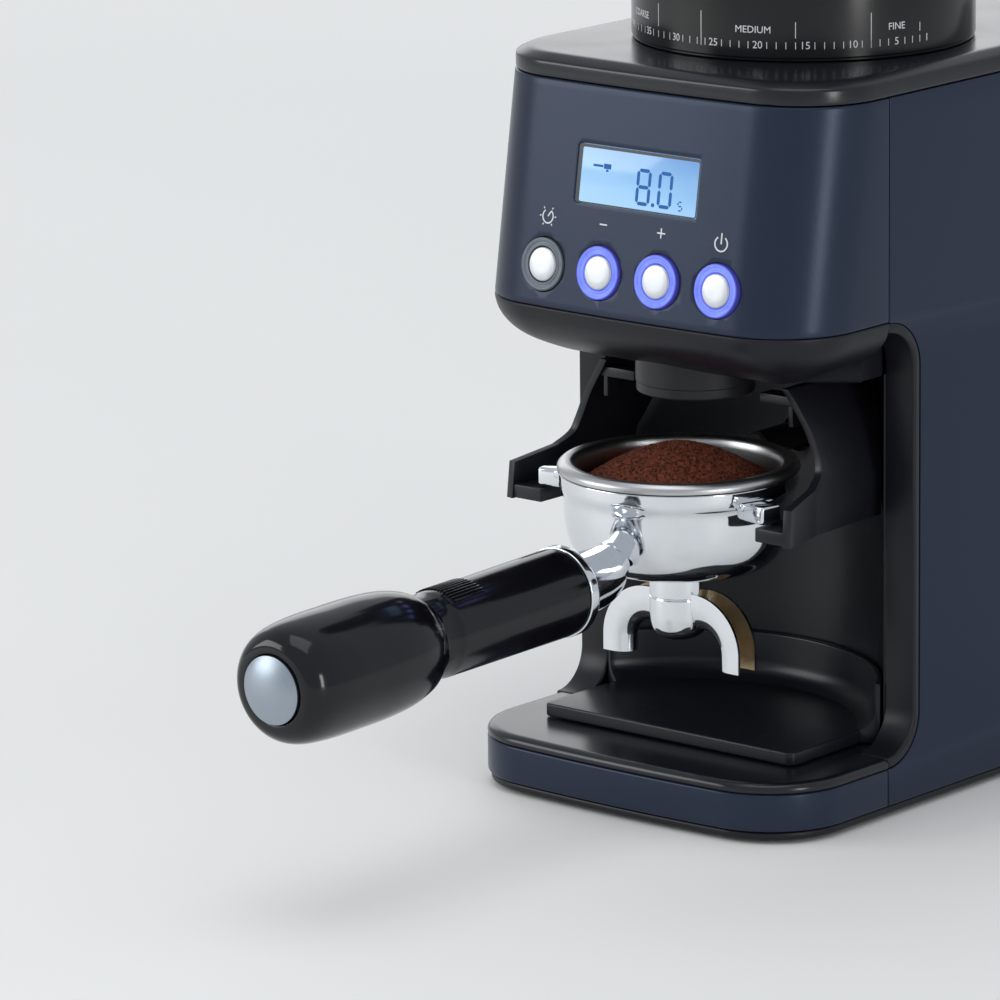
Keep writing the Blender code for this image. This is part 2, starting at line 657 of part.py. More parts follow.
def make_collar():
    """The scale ring turns with the outer burr and its carrier."""
    collar_axis = empty("collar_axis", (0, 0, 0))
    inner = COLLAR_RADIUS - COLLAR_WALL
    high = COLLAR_BASE + COLLAR_HEIGHT
    section = tube_profile(COLLAR_RADIUS, inner, COLLAR_BASE, high, 0.0006)
    turned("adjust_collar", section, BLACK, steps=40, ring=True, parent=collar_axis)
    bore = OUTER_BURR_RADIUS + FIT
    flange = inner - FIT
    low = CONE_BASE + 0.0020
    section = [
        (flange, COLLAR_BASE + 0.0050), (flange, COLLAR_BASE + 0.0015), (0.0310, COLLAR_BASE + 0.0015),
        (0.0310, low), (bore, low), (bore, COLLAR_BASE + 0.0050),
    ]
    turned("burr_carrier", section, DARK, steps=32, ring=True, parent=collar_axis)
    section = [
        (OUTER_BURR_RADIUS, low + 0.0180), (OUTER_BURR_RADIUS, low), (CONE_RADIUS + 0.0010, low),
        (0.0155, low + 0.0160), (0.0155, low + 0.0180),
    ]
    turned("outer_burr", section, STEEL, ring=True, parent=collar_axis)


def make_hopper():
    """A clear bean hopper whose funnel ends in an outlet above the burrs."""
    wall = HOPPER_WALL
    neck = HOPPER_OUTLET + wall
    low = HOPPER_BASE
    section = [
        (HOPPER_RADIUS, HOPPER_TOP), (HOPPER_RADIUS, low + 0.0030), (HOPPER_RADIUS - 0.0008, low),
        (HOPPER_RADIUS - 0.0045, low), (neck, low - 0.0160), (neck, low - 0.0230),
        (HOPPER_OUTLET, low - 0.0230), (HOPPER_OUTLET, low - 0.0150),
        (HOPPER_RADIUS - wall - 0.0012, low + 0.0030),
        (HOPPER_RADIUS - wall, low + 0.0060), (HOPPER_RADIUS - wall, HOPPER_TOP),
    ]
    turned("bean_hopper", section, CLEAR, steps=40, ring=True)
    guard = cylinder(
        "finger_guard", HOPPER_OUTLET - FIT, HOPPER_BASE - 0.0220, HOPPER_BASE - 0.0200, BLACK, steps=32
    )
    for number in range(4):
        angle = math.pi / 4 + number * math.pi / 2
        spot = (0.0095 * math.cos(angle), 0.0095 * math.sin(angle))
        hole = cylinder(
            f"guard_hole_{number + 1}", 0.0055, HOPPER_BASE - 0.03, HOPPER_BASE, centre=spot, steps=20,
            **cutter_options(),
        )
        cut(guard, hole)
    base = HOPPER_TOP + FIT
    plug = HOPPER_RADIUS - wall - 0.0006
    section = [
        (0, base + HOPPER_LID_HEIGHT), (0.0100, base + HOPPER_LID_HEIGHT),
        (0.0120, base + HOPPER_LID_HEIGHT - 0.0012), (0.0130, base + 0.0045), (0.0180, base + 0.0032),
        (HOPPER_RADIUS - 0.0010, base + 0.0032),
        (HOPPER_RADIUS, base + 0.0022), (HOPPER_RADIUS, base), (plug, base), (plug, base - 0.0050),
        (plug - 0.0020, base - 0.0050), (plug - 0.0020, base), (0, base),
    ]
    turned("hopper_lid", section, BLACK, steps=40)


# ---------------------------------------------------------------- cradle, plunger and tray
def cradle_path(z, half_width, front, knee=None):
    """From the left tip back along the wall, round the recess and forward to the right tip."""
    knee = knee or (half_width, front + 0.003)
    round_back = recess_arc(CRADLE_OUTER, knee[0], 16)
    right = [(half_width, front), knee]
    left = [(-x, y) for x, y in reversed(right)]
    return layer([*right, *round_back, *left], z)


def make_cradle():
    knee = (0.0490, -0.0560)
    rows = [
        cradle_path(CRADLE_BOTTOM, 0.0530, -0.0746, knee),
        cradle_path(0.0970, 0.0528, -0.0735, knee),
        cradle_path(0.0998, 0.0494, -0.0580, (0.0487, -0.0545)),
        cradle_path(0.1030, 0.0475, -0.0527),
        cradle_path(0.1070, 0.0461, -0.0513),
        cradle_path(0.1110, 0.0444, -0.0512),
        cradle_path(0.1150, 0.0426, -0.0513),
        cradle_path(0.1190, 0.0402, -0.0516),
        cradle_path(0.1230, 0.0376, -0.0519),
        cradle_path(CRADLE_TOP, 0.0352, -0.0526),
    ]
    cradle = loft("cradle", rows, BLACK, cap_bottom=False, cap_top=False, closed=False)
    solidify(cradle, CRADLE_WALL)
    for side, name in ((-1, "left"), (1, "right")):
        outline = [
            (LEDGE_INNER, -0.0744), (0.0518, -0.0744), (0.0478, -0.0560), (0.0478, -0.0290),
            (LEDGE_INNER, -0.0290),
        ]
        outline = [(side * x, y) for x, y in outline]
        if side < 0:
            outline.reverse()
        ledge = prism(f"ledge_{name}", outline, CRADLE_BOTTOM + 0.0001, LEDGE_TOP, **cutter_options())
        cut(cradle, ledge, "UNION")
        spot = (side * 0.0300, -0.0480, CRADLE_TOP - 0.0040)
        cut(cradle, box(f"tab_{name}", (0.0130, 0.0060, 0.0030), spot, **cutter_options()), "UNION")
    passage = box("spout_passage", (0.050, 0.060, 0.020), (0, 0.0040, 0.1300), **cutter_options())
    cut(cradle, passage)
    cut(cradle, level_hole("cradle_plunger_hole", PLUNGER_RADIUS + 0.0015, 0.04, (0, 0, PLUNGER_Z)))


def make_plunger():
    tail = PLUNGER_FRONT - PLUNGER_BACK
    section = [
        (0, 0), (PLUNGER_RADIUS - 0.0008, 0), (PLUNGER_RADIUS, -0.0008), (PLUNGER_RADIUS, tail), (0, tail),
    ]
    # Local +Z points to the front, so the section runs back from the plunger's nose.
    facing = (math.radians(90), 0, 0)
    turned("start_plunger", section, DARK, centre=(0, PLUNGER_FRONT, PLUNGER_Z), rotation=facing, steps=24)
    switch_y = PLUNGER_BACK + PLUNGER_TRAVEL + 0.0025
    box("start_switch", (0.020, 0.004, 0.010), (0, switch_y, PLUNGER_Z), DARK)


def make_tray():
    low = COVER_TOP + FIT
    top = COVER_TOP + TRAY_STEP
    outer = RECESS_RADIUS - 0.0006
    side = TRAY_HALF_WIDTH
    corner = TRAY_CORNER
    right = arc((side - corner, TRAY_FRONT + corner), corner, -90, 0, 5)
    left = [(-x, y) for x, y in reversed(right)]
    outline = [*left, *right, *recess_arc(outer - TRAY_WALL / 2, side - 0.0005)]
    layers = [layer(outline, low), layer(outline, top)]
    tray = loft("crumb_tray", layers, BLACK)
    path = list(reversed(recess_arc(outer, LIP_INNER - 2 * FIT, 24)))
    inner_path = recess_arc(outer - TRAY_WALL, LIP_INNER - 2 * FIT - 0.0010, 24)
    ring = [*reversed(path), *reversed(inner_path)]
    wall = prism("tray_wall", ring, low, TRAY_WALL_TOP, **cutter_options())
    cut(tray, wall, "UNION")


# ---------------------------------------------------------------- portafilter
def make_portafilter():
    centre = (0, FILTER_Y, 0)
    rim_low = RIM_TOP - 0.0030
    bore = BASKET_RADIUS + 0.0006
    bowl = [
        (RIM_RADIUS - 0.0003, rim_low - FIT), (RIM_RADIUS - 0.0003, rim_low - 0.0045),
        (0.0338, rim_low - 0.0070), (0.0335, 0.0850), (0.0320, 0.0782), (0.0280, 0.0730), (0.0220, 0.0704),
        (0.0150, BOWL_BOTTOM), (0.0045, BOWL_BOTTOM), (0.0045, 0.0740), (0.0220, 0.0748), (0.0290, 0.0770),
        (bore, 0.0795), (bore, rim_low - FIT),
    ]
    body = turned("pf_body", bowl, CHROME, centre=centre, steps=32, ring=True)
    for name, angle in (("right", math.radians(-LUG_TURN)), ("left", math.radians(180 + LUG_TURN))):
        spot = (
            LUG_REACH * math.cos(angle), FILTER_Y + LUG_REACH * math.sin(angle),
            LEDGE_TOP + FIT + LUG_HEIGHT / 2,
        )
        lug = box(f"lug_{name}", (0.0120, 0.0075, LUG_HEIGHT), spot, **cutter_options())
        lug.rotation_euler = (0, 0, angle)
        cut(body, lug, "UNION")
    ferrule_back = HANDLE_START + FERRULE_LENGTH
    sections = [
        (FILTER_Y - 0.0318, 0.0790, 0.0080, 0.0060), (FILTER_Y - 0.0350, 0.0765, 0.0087, 0.0082),
        (FILTER_Y - 0.0390, 0.0744, 0.0090, 0.0090), (ferrule_back + FIT, HANDLE_Z + 0.0001, 0.0090, 0.0090),
    ]
    layers = []
    for y, z, across, up in sections:
        layers.append([(across * x, y, z + up * w) for x, w in arc((0, 0), 1, 0, 337.5, 15)])
    neck = loft("pf_neck", layers, **cutter_options())
    cut(body, neck, "UNION")

    basket_low = RIM_TOP - 0.0230
    inner = BASKET_RADIUS - BASKET_WALL
    basket = [
        (0, basket_low + BASKET_WALL), (inner - 0.0010, basket_low + BASKET_WALL), (inner, RIM_TOP - 0.0010),
        (inner + 0.0010, RIM_TOP), (RIM_RADIUS - 0.0010, RIM_TOP), (RIM_RADIUS, RIM_TOP - 0.0010),
        (RIM_RADIUS, rim_low), (BASKET_RADIUS, rim_low), (BASKET_RADIUS - 0.0010, basket_low),
        (0, basket_low),
    ]
    turned("pf_basket", basket, BRUSHED, centre=centre, steps=32)

    top = RIM_TOP
    fill = BASKET_RADIUS - BASKET_WALL - 0.0014
    mound = [
        (0, MOUND_PEAK), (0.0050, MOUND_PEAK - 0.0006), (0.0120, MOUND_PEAK - 0.0040), (0.0190, top - 0.0015),
        (fill - 0.0020, top - 0.0058), (fill - 0.0008, top - 0.0070),
        (fill - 0.0012, basket_low + BASKET_WALL + FIT),
        (0, basket_low + BASKET_WALL + FIT),
    ]
    turned("pf_grounds", mound, COFFEE, centre=centre)

    collar_high = BOWL_BOTTOM - FIT
    collar = [
        (0, collar_high), (0.0088, collar_high), (0.0088, 0.0545), (0.0075, 0.0510), (0.0040, 0.0490),
        (0, 0.0485),
    ]
    spout = turned("pf_spout", collar, CHROME, centre=centre, steps=32)
    curve = bpy.data.curves.new("spout_arms", "CURVE")
    curve.dimensions = "3D"
    curve.bevel_depth = OUTLET_RADIUS
    curve.bevel_resolution = 3
    curve.use_fill_caps = True
    path = curve.splines.new("POLY")
    bend_centre = (-OUTLET_REACH + OUTLET_BEND, OUTLET_BOTTOM + 0.0050)
    points = [(-OUTLET_REACH, OUTLET_BOTTOM), *arc(bend_centre, OUTLET_BEND, 180, 90, 6)]
    points += [(-x, z) for x, z in reversed(points)]
    path.points.add(len(points) - 1)
    for target, (x, z) in zip(path.points, points):
        target.co = (x, FILTER_Y, z, 1)
    guide = bpy.data.objects.new("spout_arms", curve)
    CUTTERS.objects.link(guide)
    bpy.context.view_layer.update()
    made = bpy.data.meshes.new_from_object(guide.evaluated_get(bpy.context.evaluated_depsgraph_get()))
    bpy.data.objects.remove(guide, do_unlink=True)
    bm = bmesh.new()
    bm.from_mesh(made)
    bmesh.ops.remove_doubles(bm, verts=bm.verts, dist=0.00001)
    arms = finish("spout_arms_solid", mesh_from(bm, "spout_arms_solid"), None, collection=CUTTERS, smooth=0)
    cut(spout, arms, "UNION")

    # Local +Z runs along the handle, to the front and a little down.
    along = (math.radians(90 + HANDLE_SLOPE), 0, 0)
    start = (0, HANDLE_START, HANDLE_Z)
    ferrule = [(0, 0.0), (HANDLE_RADIUS + 0.0004, 0.0), (HANDLE_RADIUS + 0.0004, 0.0009 - FERRULE_LENGTH)]
    ferrule += [(0.0118, -FERRULE_LENGTH), (0, -FERRULE_LENGTH)]
    turned("pf_ferrule", ferrule, CHROME, centre=start, rotation=along)
    length = HANDLE_LENGTH
    grip = [
        (0.0098, length), (0.0125, length - 0.0010), (0.0155, length - 0.0050), (0.0172, length - 0.0110),
        (KNOB_RADIUS, length - 0.0180), (KNOB_RADIUS, length - 0.0360), (0.0172, length - 0.0480),
        (0.0160, length - 0.0550), (0.0140, length - 0.0580), (0.0123, length - 0.0600),
        (0.0123, length - 0.0650),
        (HANDLE_RADIUS - 0.0006, length - 0.0680), (HANDLE_RADIUS, 0.0060), (HANDLE_RADIUS, FIT),
    ]
    turned("pf_handle", [(0, length), *grip, (0, FIT)], GLOSS, centre=start, rotation=along)
    cap = [
        (0, length + END_CAP_HEIGHT), (0.0035, length + 0.0027), (0.0070, length + 0.0018),
        (0.0096, length + FIT), (0, length + FIT),
    ]
    turned("pf_end_cap", cap, CHROME, centre=start, rotation=along, steps=20)


PANEL = empty(
    "panel_frame",
    (0, (HEAD_FRONT_LOW + HEAD_FRONT_HIGH) / 2, (HEAD_BOTTOM + HEAD_TOP) / 2),
    (PANEL_TILT, 0, 0),
)

make_feet_and_pan()
make_base()
make_side_trims()
make_column_wall()
make_rear_shell()
make_front_panel()
make_panel_parts()
make_head_trim()
make_top_cover()
make_drive()
make_chamber()
make_collar()
make_hopper()
make_cradle()
make_plunger()
make_tray()
make_portafilter()
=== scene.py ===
# %% [markdown]
# # A burr coffee grinder: from its frame to its finishes
#
# The frame that loads first is the engineering model: plain solids in their true places, with the joints
# that let them move. The cells below dress it. Each visible plastic, steel or glass piece is made again with
# its rounded edges and small details, and rides on the same moving body as the solid that it stands for.
# Pieces inside the housing keep their solids and only get a finish.

# %% Load the frame
import json
import math

import bmesh
import bpy
from mathutils import Matrix, Vector


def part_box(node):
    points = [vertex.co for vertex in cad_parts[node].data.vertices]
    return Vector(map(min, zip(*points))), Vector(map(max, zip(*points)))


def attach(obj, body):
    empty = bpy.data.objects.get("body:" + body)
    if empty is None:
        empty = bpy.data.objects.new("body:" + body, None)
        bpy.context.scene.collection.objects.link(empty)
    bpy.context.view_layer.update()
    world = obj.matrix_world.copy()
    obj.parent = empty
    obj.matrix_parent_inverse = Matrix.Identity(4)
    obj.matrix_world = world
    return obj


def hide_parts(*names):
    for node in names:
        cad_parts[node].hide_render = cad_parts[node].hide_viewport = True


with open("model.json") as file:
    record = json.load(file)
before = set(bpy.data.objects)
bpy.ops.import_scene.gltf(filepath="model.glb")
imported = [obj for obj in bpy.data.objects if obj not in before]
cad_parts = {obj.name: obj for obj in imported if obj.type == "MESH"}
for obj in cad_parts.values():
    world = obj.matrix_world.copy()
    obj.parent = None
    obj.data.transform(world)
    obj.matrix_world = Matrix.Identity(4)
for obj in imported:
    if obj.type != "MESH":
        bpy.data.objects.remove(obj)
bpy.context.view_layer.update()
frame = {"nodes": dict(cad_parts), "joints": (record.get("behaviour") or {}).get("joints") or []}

# %% [markdown]
# ## Where things are
#
# Small products are drawn in millimetres. Every shape below is drawn in millimetres too, seen from the burr
# axis and from the table, and one last step turns it into metres and moves it onto the frame. The main
# sizes are read from the frame's own boxes, so the looks can't drift away from the engineering model.

# %% Read the main sizes from the frame
BURR_Y = sum(corner.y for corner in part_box("adjust_collar")) / 2
TO_FRAME = Matrix.Translation((0, BURR_Y, 0)) @ Matrix.Scale(0.001, 4)


def span(node):
    """A node's lowest and highest corner in millimetres from the burr axis."""
    return [1000 * (corner - Vector((0, BURR_Y, 0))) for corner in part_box(node)]


def middle_of(node):
    """A node's middle, in the same millimetres."""
    return [(low + high) / 2 for low, high in zip(*span(node))]


GAP = 0.3  # between two pieces that touch
HALF_GAP = GAP / 2
SHEET = 1.5
HALF_WIDTH = span("rear_shell")[1].x
BODY_REAR = span("rear_shell")[1].y
SEAM_Y = span("front_panel")[1].y + HALF_GAP
HEAD_BOTTOM = span("front_panel")[0].z - HALF_GAP
HEAD_TOP = span("front_panel")[1].z
HEAD_FRONT_LOW = span("front_panel")[0].y
LID_INSET = 0.2  # how far the lid stands back from the panel
HEAD_FRONT_HIGH = span("top_cover")[0].y - LID_INSET
BASE_FRONT = span("base_band")[0].y
FILTER_Y = middle_of("pf_basket")[1]
LIP_INNER = span("side_trim_right")[0].x
CORNER = 26.0  # front corners, seen from above
REAR_CORNER = 22.0
BOW = 1.15  # how far the front stands out in its middle
RECESS = 60.0  # radius of the concave wall
print(f"body {2 * HALF_WIDTH:.0f} mm wide, head from {HEAD_BOTTOM:.0f} to {HEAD_TOP:.0f} mm high")

# %% [markdown]
# ## Drawing tools
#
# Three ways of making a shape cover this whole machine. A **loft** joins outlines laid above each other,
# which suits moulded housings. A **lathe** turns a half section round an axis, which suits cups, rings and
# knobs. A **sweep** carries a section along a path. Each makes a closed mesh, and a Bevel modifier then
# rounds the edges that a mould or a press would round.

# %% Points and outlines
def arc(centre, radius, start, end, steps):
    """Points of an arc between two angles in degrees, ends included."""
    angles = [math.radians(start + (end - start) * i / steps) for i in range(steps + 1)]
    return [(centre[0] + radius * math.cos(a), centre[1] + radius * math.sin(a)) for a in angles]


def rounded(points, steps=6, closed=False):
    """A line of points (a, b, fillet), each corner with a fillet rounded by that much."""
    made = []
    count = len(points)
    for i, point in enumerate(points):
        fillet = point[2] if len(point) > 2 else 0
        corner = Vector(point[:2])
        if not fillet or (not closed and i in (0, count - 1)):
            made.append(tuple(corner))
            continue
        before = Vector(points[i - 1][:2]) - corner
        after = Vector(points[(i + 1) % count][:2]) - corner
        reach_in = min(fillet, before.length / 2)
        reach_out = min(fillet, after.length / 2)
        start = corner + before.normalized() * reach_in
        end = corner + after.normalized() * reach_out
        for step in range(steps + 1):
            t = step / steps
            made.append(tuple(start * (1 - t) ** 2 + corner * 2 * t * (1 - t) + end * t ** 2))
    return made


def smooth_rows(rows, steps):
    """A smooth curve through rows of numbers, with steps points between two of them."""
    made = []
    for i in range(len(rows) - 1):
        before, start, end, after = rows[max(i - 1, 0)], rows[i], rows[i + 1], rows[min(i + 2, len(rows) - 1)]
        for step in range(steps):
            t = step / steps
            row = []
            for a, b, c, d in zip(before, start, end, after):
                row.append(0.5 * (2 * b + (c - a) * t + (2 * a - 5 * b + 4 * c - d) * t ** 2
                                  + (3 * b - a - 3 * c + d) * t ** 3))
            made.append(tuple(row))
    return [*made, tuple(rows[-1])]


def offset_path(points, distance):
    """An open line moved sideways, to its left for a positive distance."""
    made = []
    for i, point in enumerate(points):
        before = Vector(points[max(i - 1, 0)])
        after = Vector(points[min(i + 1, len(points) - 1)])
        along = (after - before).normalized()
        made.append((point[0] - along.y * distance, point[1] + along.x * distance))
    return made


# %% Meshes and modifiers
def new_object(name, mesh):
    obj = bpy.data.objects.new(name, mesh)
    bpy.context.scene.collection.objects.link(obj)
    return obj


def mesh_from(bm, name):
    """The finished mesh of a bmesh, its doubles merged and its faces turned outwards."""
    bmesh.ops.remove_doubles(bm, verts=bm.verts, dist=0.0005)
    bmesh.ops.recalc_face_normals(bm, faces=bm.faces)
    mesh = bpy.data.meshes.new(name)
    bm.to_mesh(mesh)
    bm.free()
    return mesh


def loft(name, rows, joined=False):
    """A closed skin through rows of points, from the first to the last. joined makes a ring of the rows."""
    bm = bmesh.new()
    grid = [[bm.verts.new(point) for point in row] for row in rows]
    count = len(grid[0])
    pairs = list(zip(grid, grid[1:]))
    if joined:
        pairs.append((grid[-1], grid[0]))
    for low, high in pairs:
        for i in range(count):
            j = (i + 1) % count
            bm.faces.new((low[i], low[j], high[j], high[i]))
    if not joined:
        bm.faces.new(list(reversed(grid[0])))
        bm.faces.new(grid[-1])
    return new_object(name, mesh_from(bm, name))


def level(outline, z):
    """An outline laid at a height."""
    return [(x, y, z) for x, y in outline]


def prism(name, outline, low, high):
    """An outline drawn up from one height to another."""
    return loft(name, [level(outline, low), level(outline, high)])


def block(name, size, centre, turn=0.0):
    """A block with square edges, turned about Z by an angle in degrees."""
    x, y, z = (side / 2 for side in size)
    outline = [(-x, -y), (x, -y), (x, y), (-x, y)]
    obj = prism(name, outline, -z, z)
    obj.data.transform(Matrix.Translation(centre) @ Matrix.Rotation(math.radians(turn), 4, "Z"))
    return obj


def lathe(name, profile, steps=96, place=Matrix.Identity(4), ring=False):
    """Turns (radius, height) points about Z. The UV map runs round the axis and along the section."""
    bm = bmesh.new()
    rows = []
    for radius, height in profile:
        if radius < 1e-6:
            rows.append([bm.verts.new((0, 0, height))] * steps)
            continue
        turns = [2 * math.pi * i / steps for i in range(steps)]
        rows.append([bm.verts.new((radius * math.cos(a), radius * math.sin(a), height)) for a in turns])
    lengths = [0.0]
    for (r1, z1), (r2, z2) in zip(profile, [*profile[1:], profile[0]]):
        lengths.append(lengths[-1] + math.hypot(r2 - r1, z2 - z1) / 1000)
    uv = bm.loops.layers.uv.new("turned")
    pairs = [(i, i + 1) for i in range(len(rows) - 1)]
    if ring:
        pairs.append((len(rows) - 1, 0))
    for number, (a, b) in enumerate(pairs):
        for i in range(steps):
            j = (i + 1) % steps
            corners = [(rows[a][i], i, 0), (rows[a][j], i + 1, 0), (rows[b][j], i + 1, 1), (rows[b][i], i, 1)]
            used = []
            for corner in corners:
                if corner[0] not in [one[0] for one in used]:
                    used.append(corner)
            if len(used) < 3:
                continue
            face = bm.faces.new([one[0] for one in used])
            for loop, one in zip(face.loops, used):
                loop[uv].uv = (one[1] / steps, lengths[number + one[2]])
    mesh = mesh_from(bm, name)
    mesh.transform(place)
    return new_object(name, mesh)


def round_cutter(name, radius, low, high, steps=48, place=Matrix.Identity(4)):
    """A cylinder for making holes, along its place's Z from low to high."""
    return lathe(name, [(0, low), (radius, low), (radius, high), (0, high)], steps, place)


def sweep(name, section, frames, depths):
    """Carries a closed section of (a, b) points along frames of (origin, side, up).

    The section's lower half is made deeper by a factor that runs from the first of depths to the second.
    """
    rows = []
    for number, (origin, side, up) in enumerate(frames):
        deeper = depths[0] + (depths[1] - depths[0]) * number / (len(frames) - 1)
        rows.append([tuple(origin + side * a + up * (b * deeper if b < 0 else b)) for a, b in section])
    return loft(name, rows)


def bevel(obj, width, segments=3, angle=35):
    """Rounds the edges that turn by more than an angle in degrees."""
    modifier = obj.modifiers.new("rounded_edges", "BEVEL")
    modifier.width = width
    modifier.segments = segments
    modifier.limit_method = "ANGLE"
    modifier.angle_limit = math.radians(angle)
    modifier.use_clamp_overlap = True
    return obj


def baked(obj):
    """The object's mesh with its modifiers worked in, as a new plain mesh."""
    bpy.context.view_layer.update()
    graph = bpy.context.evaluated_depsgraph_get()
    return bpy.data.meshes.new_from_object(obj.evaluated_get(graph), depsgraph=graph)


def apply_all(obj):
    """Works the modifiers into the object's own mesh."""
    mesh = baked(obj)
    obj.modifiers.clear()
    obj.data = mesh


def punch(obj, *cutters):
    """Cuts every cutter's shape away, and then throws the cutters away."""
    for cutter in cutters:
        modifier = obj.modifiers.new(cutter.name, "BOOLEAN")
        modifier.operation = "DIFFERENCE"
        modifier.object = cutter
        modifier.solver = "EXACT"
    apply_all(obj)
    for cutter in cutters:
        bpy.data.objects.remove(cutter, do_unlink=True)


def joined(name, *objects):
    """Several objects of one finish as one."""
    bm = bmesh.new()
    for obj in objects:
        bm.from_mesh(baked(obj))
        bpy.data.objects.remove(obj, do_unlink=True)
    mesh = bpy.data.meshes.new(name)
    bm.to_mesh(mesh)
    bm.free()
    return new_object(name, mesh)


PIECES = []


def settle(obj, body, look, slot, *stands_for, smooth=35):
    """Works in the modifiers, moves the mesh onto the frame, finishes it and sends it riding."""
    apply_all(obj)
    mesh = obj.data
    mesh.transform(TO_FRAME @ obj.matrix_world)
    obj.matrix_world = Matrix.Identity(4)
    if smooth:
        mesh.shade_smooth()
        mesh.set_sharp_from_angle(angle=math.radians(smooth))
    looks = look if isinstance(look, (list, tuple)) else [look]
    kept = [polygon.material_index for polygon in mesh.polygons]
    mesh.materials.clear()
    for one in looks:
        mesh.materials.append(one)
    mesh.polygons.foreach_set("material_index", [min(i, len(looks) - 1) for i in kept])
    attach(obj, body)
    if stands_for:
        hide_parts(*stands_for)
    PIECES.append(obj.name)
    return obj


# %% [markdown]
# ## A short way to write materials
#
# A material is a graph of nodes. Written out node by node it is long, so `Term` wraps a socket and lets
# ordinary sums add the Math nodes: `0.3 + 0.1 * grain` reads as it works. Colours go through Mix nodes,
# because a Math node would turn them grey. `Recipe.node` adds any other node.

# %% Material writing
class Term:
    """A socket that takes part in sums."""

    def __init__(self, recipe, socket):
        self.recipe = recipe
        self.socket = socket

    def math(self, operation, first, second):
        return self.recipe.node("ShaderNodeMath", {"operation": operation}, {0: first, 1: second})

    def __add__(self, other):
        return self.math("ADD", self, other)

    def __radd__(self, other):
        return self.math("ADD", other, self)

    def __sub__(self, other):
        return self.math("SUBTRACT", self, other)

    def __mul__(self, other):
        return self.math("MULTIPLY", self, other)

    def __rmul__(self, other):
        return self.math("MULTIPLY", other, self)


class Recipe:
    """A material and its nodes."""

    def __init__(self, name):
        self.material = bpy.data.materials.new(name)
        self.material.use_nodes = True
        self.tree = self.material.node_tree
        self.shader = self.tree.nodes["Principled BSDF"]

    def node(self, kind, settings=None, sockets=None, output=0):
        """Adds a node: its settings first, then the values or links of its sockets."""
        made = self.tree.nodes.new(kind)
        for name, value in (settings or {}).items():
            if name == "stops":
                ramp = made.color_ramp
                for place, colour in value[2:]:
                    ramp.elements.new(place).color = (*colour, 1)
                for element, (place, colour) in zip((ramp.elements[0], ramp.elements[-1]), value[:2]):
                    element.position = place
                    element.color = (*colour, 1)
            else:
                setattr(made, name, value)
        for name, value in (sockets or {}).items():
            self.feed(made.inputs[name], value)
        return Term(self, made.outputs[output])

    def feed(self, socket, value):
        """Links a socket to a term, or sets it to a value."""
        if isinstance(value, Term):
            self.tree.links.new(value.socket, socket)
        elif isinstance(value, (tuple, list)) and len(value) == 3 and socket.type == "RGBA":
            socket.default_value = (*value, 1)
        else:
            socket.default_value = value

    def place(self):
        """Where on the object, in metres."""
        return self.node("ShaderNodeTexCoord", output="Object")

    def noise(self, scale, detail=2.0, where=None, roughness=0.5):
        """Cloudy noise: a scale of 1000 makes grains of about a millimetre."""
        return self.node(
            "ShaderNodeTexNoise", {},
            {"Vector": where or self.place(), "Scale": scale, "Detail": detail, "Roughness": roughness},
        )

    def stretched(self, where, scale):
        """Coordinates with each axis scaled, so that a noise becomes lines."""
        return self.node("ShaderNodeMapping", {}, {"Vector": where, "Scale": scale})

    def blend(self, share, first, second):
        """A colour between two others."""
        return self.node(
            "ShaderNodeMix", {"data_type": "RGBA"}, {"Factor": share, 6: first, 7: second}, output=2
        )

    def bump(self, height, strength, distance):
        return self.node("ShaderNodeBump", {}, {"Height": height, "Strength": strength, "Distance": distance})

    def surface(self, **sockets):
        """Sets the shader: words with _ for the spaces in a socket's name."""
        for name, value in sockets.items():
            self.feed(self.shader.inputs[name.replace("_", " ")], value)
        return self.material


# %% [markdown]
# ## Paint and plastic
#
# The housing is steel sheet with a satin paint of very dark navy. Sprayed paint isn't quite flat: it has a
# faint orange peel about a millimetre across, and fine flecks. The lid, trims and tray are injection
# moulded in black, from a mould that was spark eroded, so they carry an even, very fine grain. Both are
# near black, and what tells them apart is how widely they spread a highlight.

# %% Painted steel
def painted_steel():
    r = Recipe("painted_steel")
    peel = r.noise(700, 3)
    fleck = r.noise(9000, 1)
    wear = r.noise(26, 4)
    colour = r.blend(fleck, (0.0150, 0.0230, 0.0440), (0.0240, 0.0340, 0.0620))
    return r.surface(
        Base_Color=colour, Roughness=0.24 + 0.08 * wear + 0.03 * fleck, Metallic=0.30,
        Specular_IOR_Level=0.26, Normal=r.bump(peel, 0.05, 0.0004),
    )


PAINT = painted_steel()


# %% Moulded plastics
def moulded(name, dark, light, rough, grains, depth, gloss=0.3):
    """Plastic from its two colours, its least roughness, its grain's fineness and depth, and its gloss."""
    r = Recipe(name)
    grain = r.noise(grains, 3)
    patches = r.noise(45, 3)
    return r.surface(
        Base_Color=r.blend(grain, dark, light), Roughness=rough + 0.10 * patches + 0.05 * grain,
        Specular_IOR_Level=gloss, Normal=r.bump(grain, depth, 0.0002),
    )


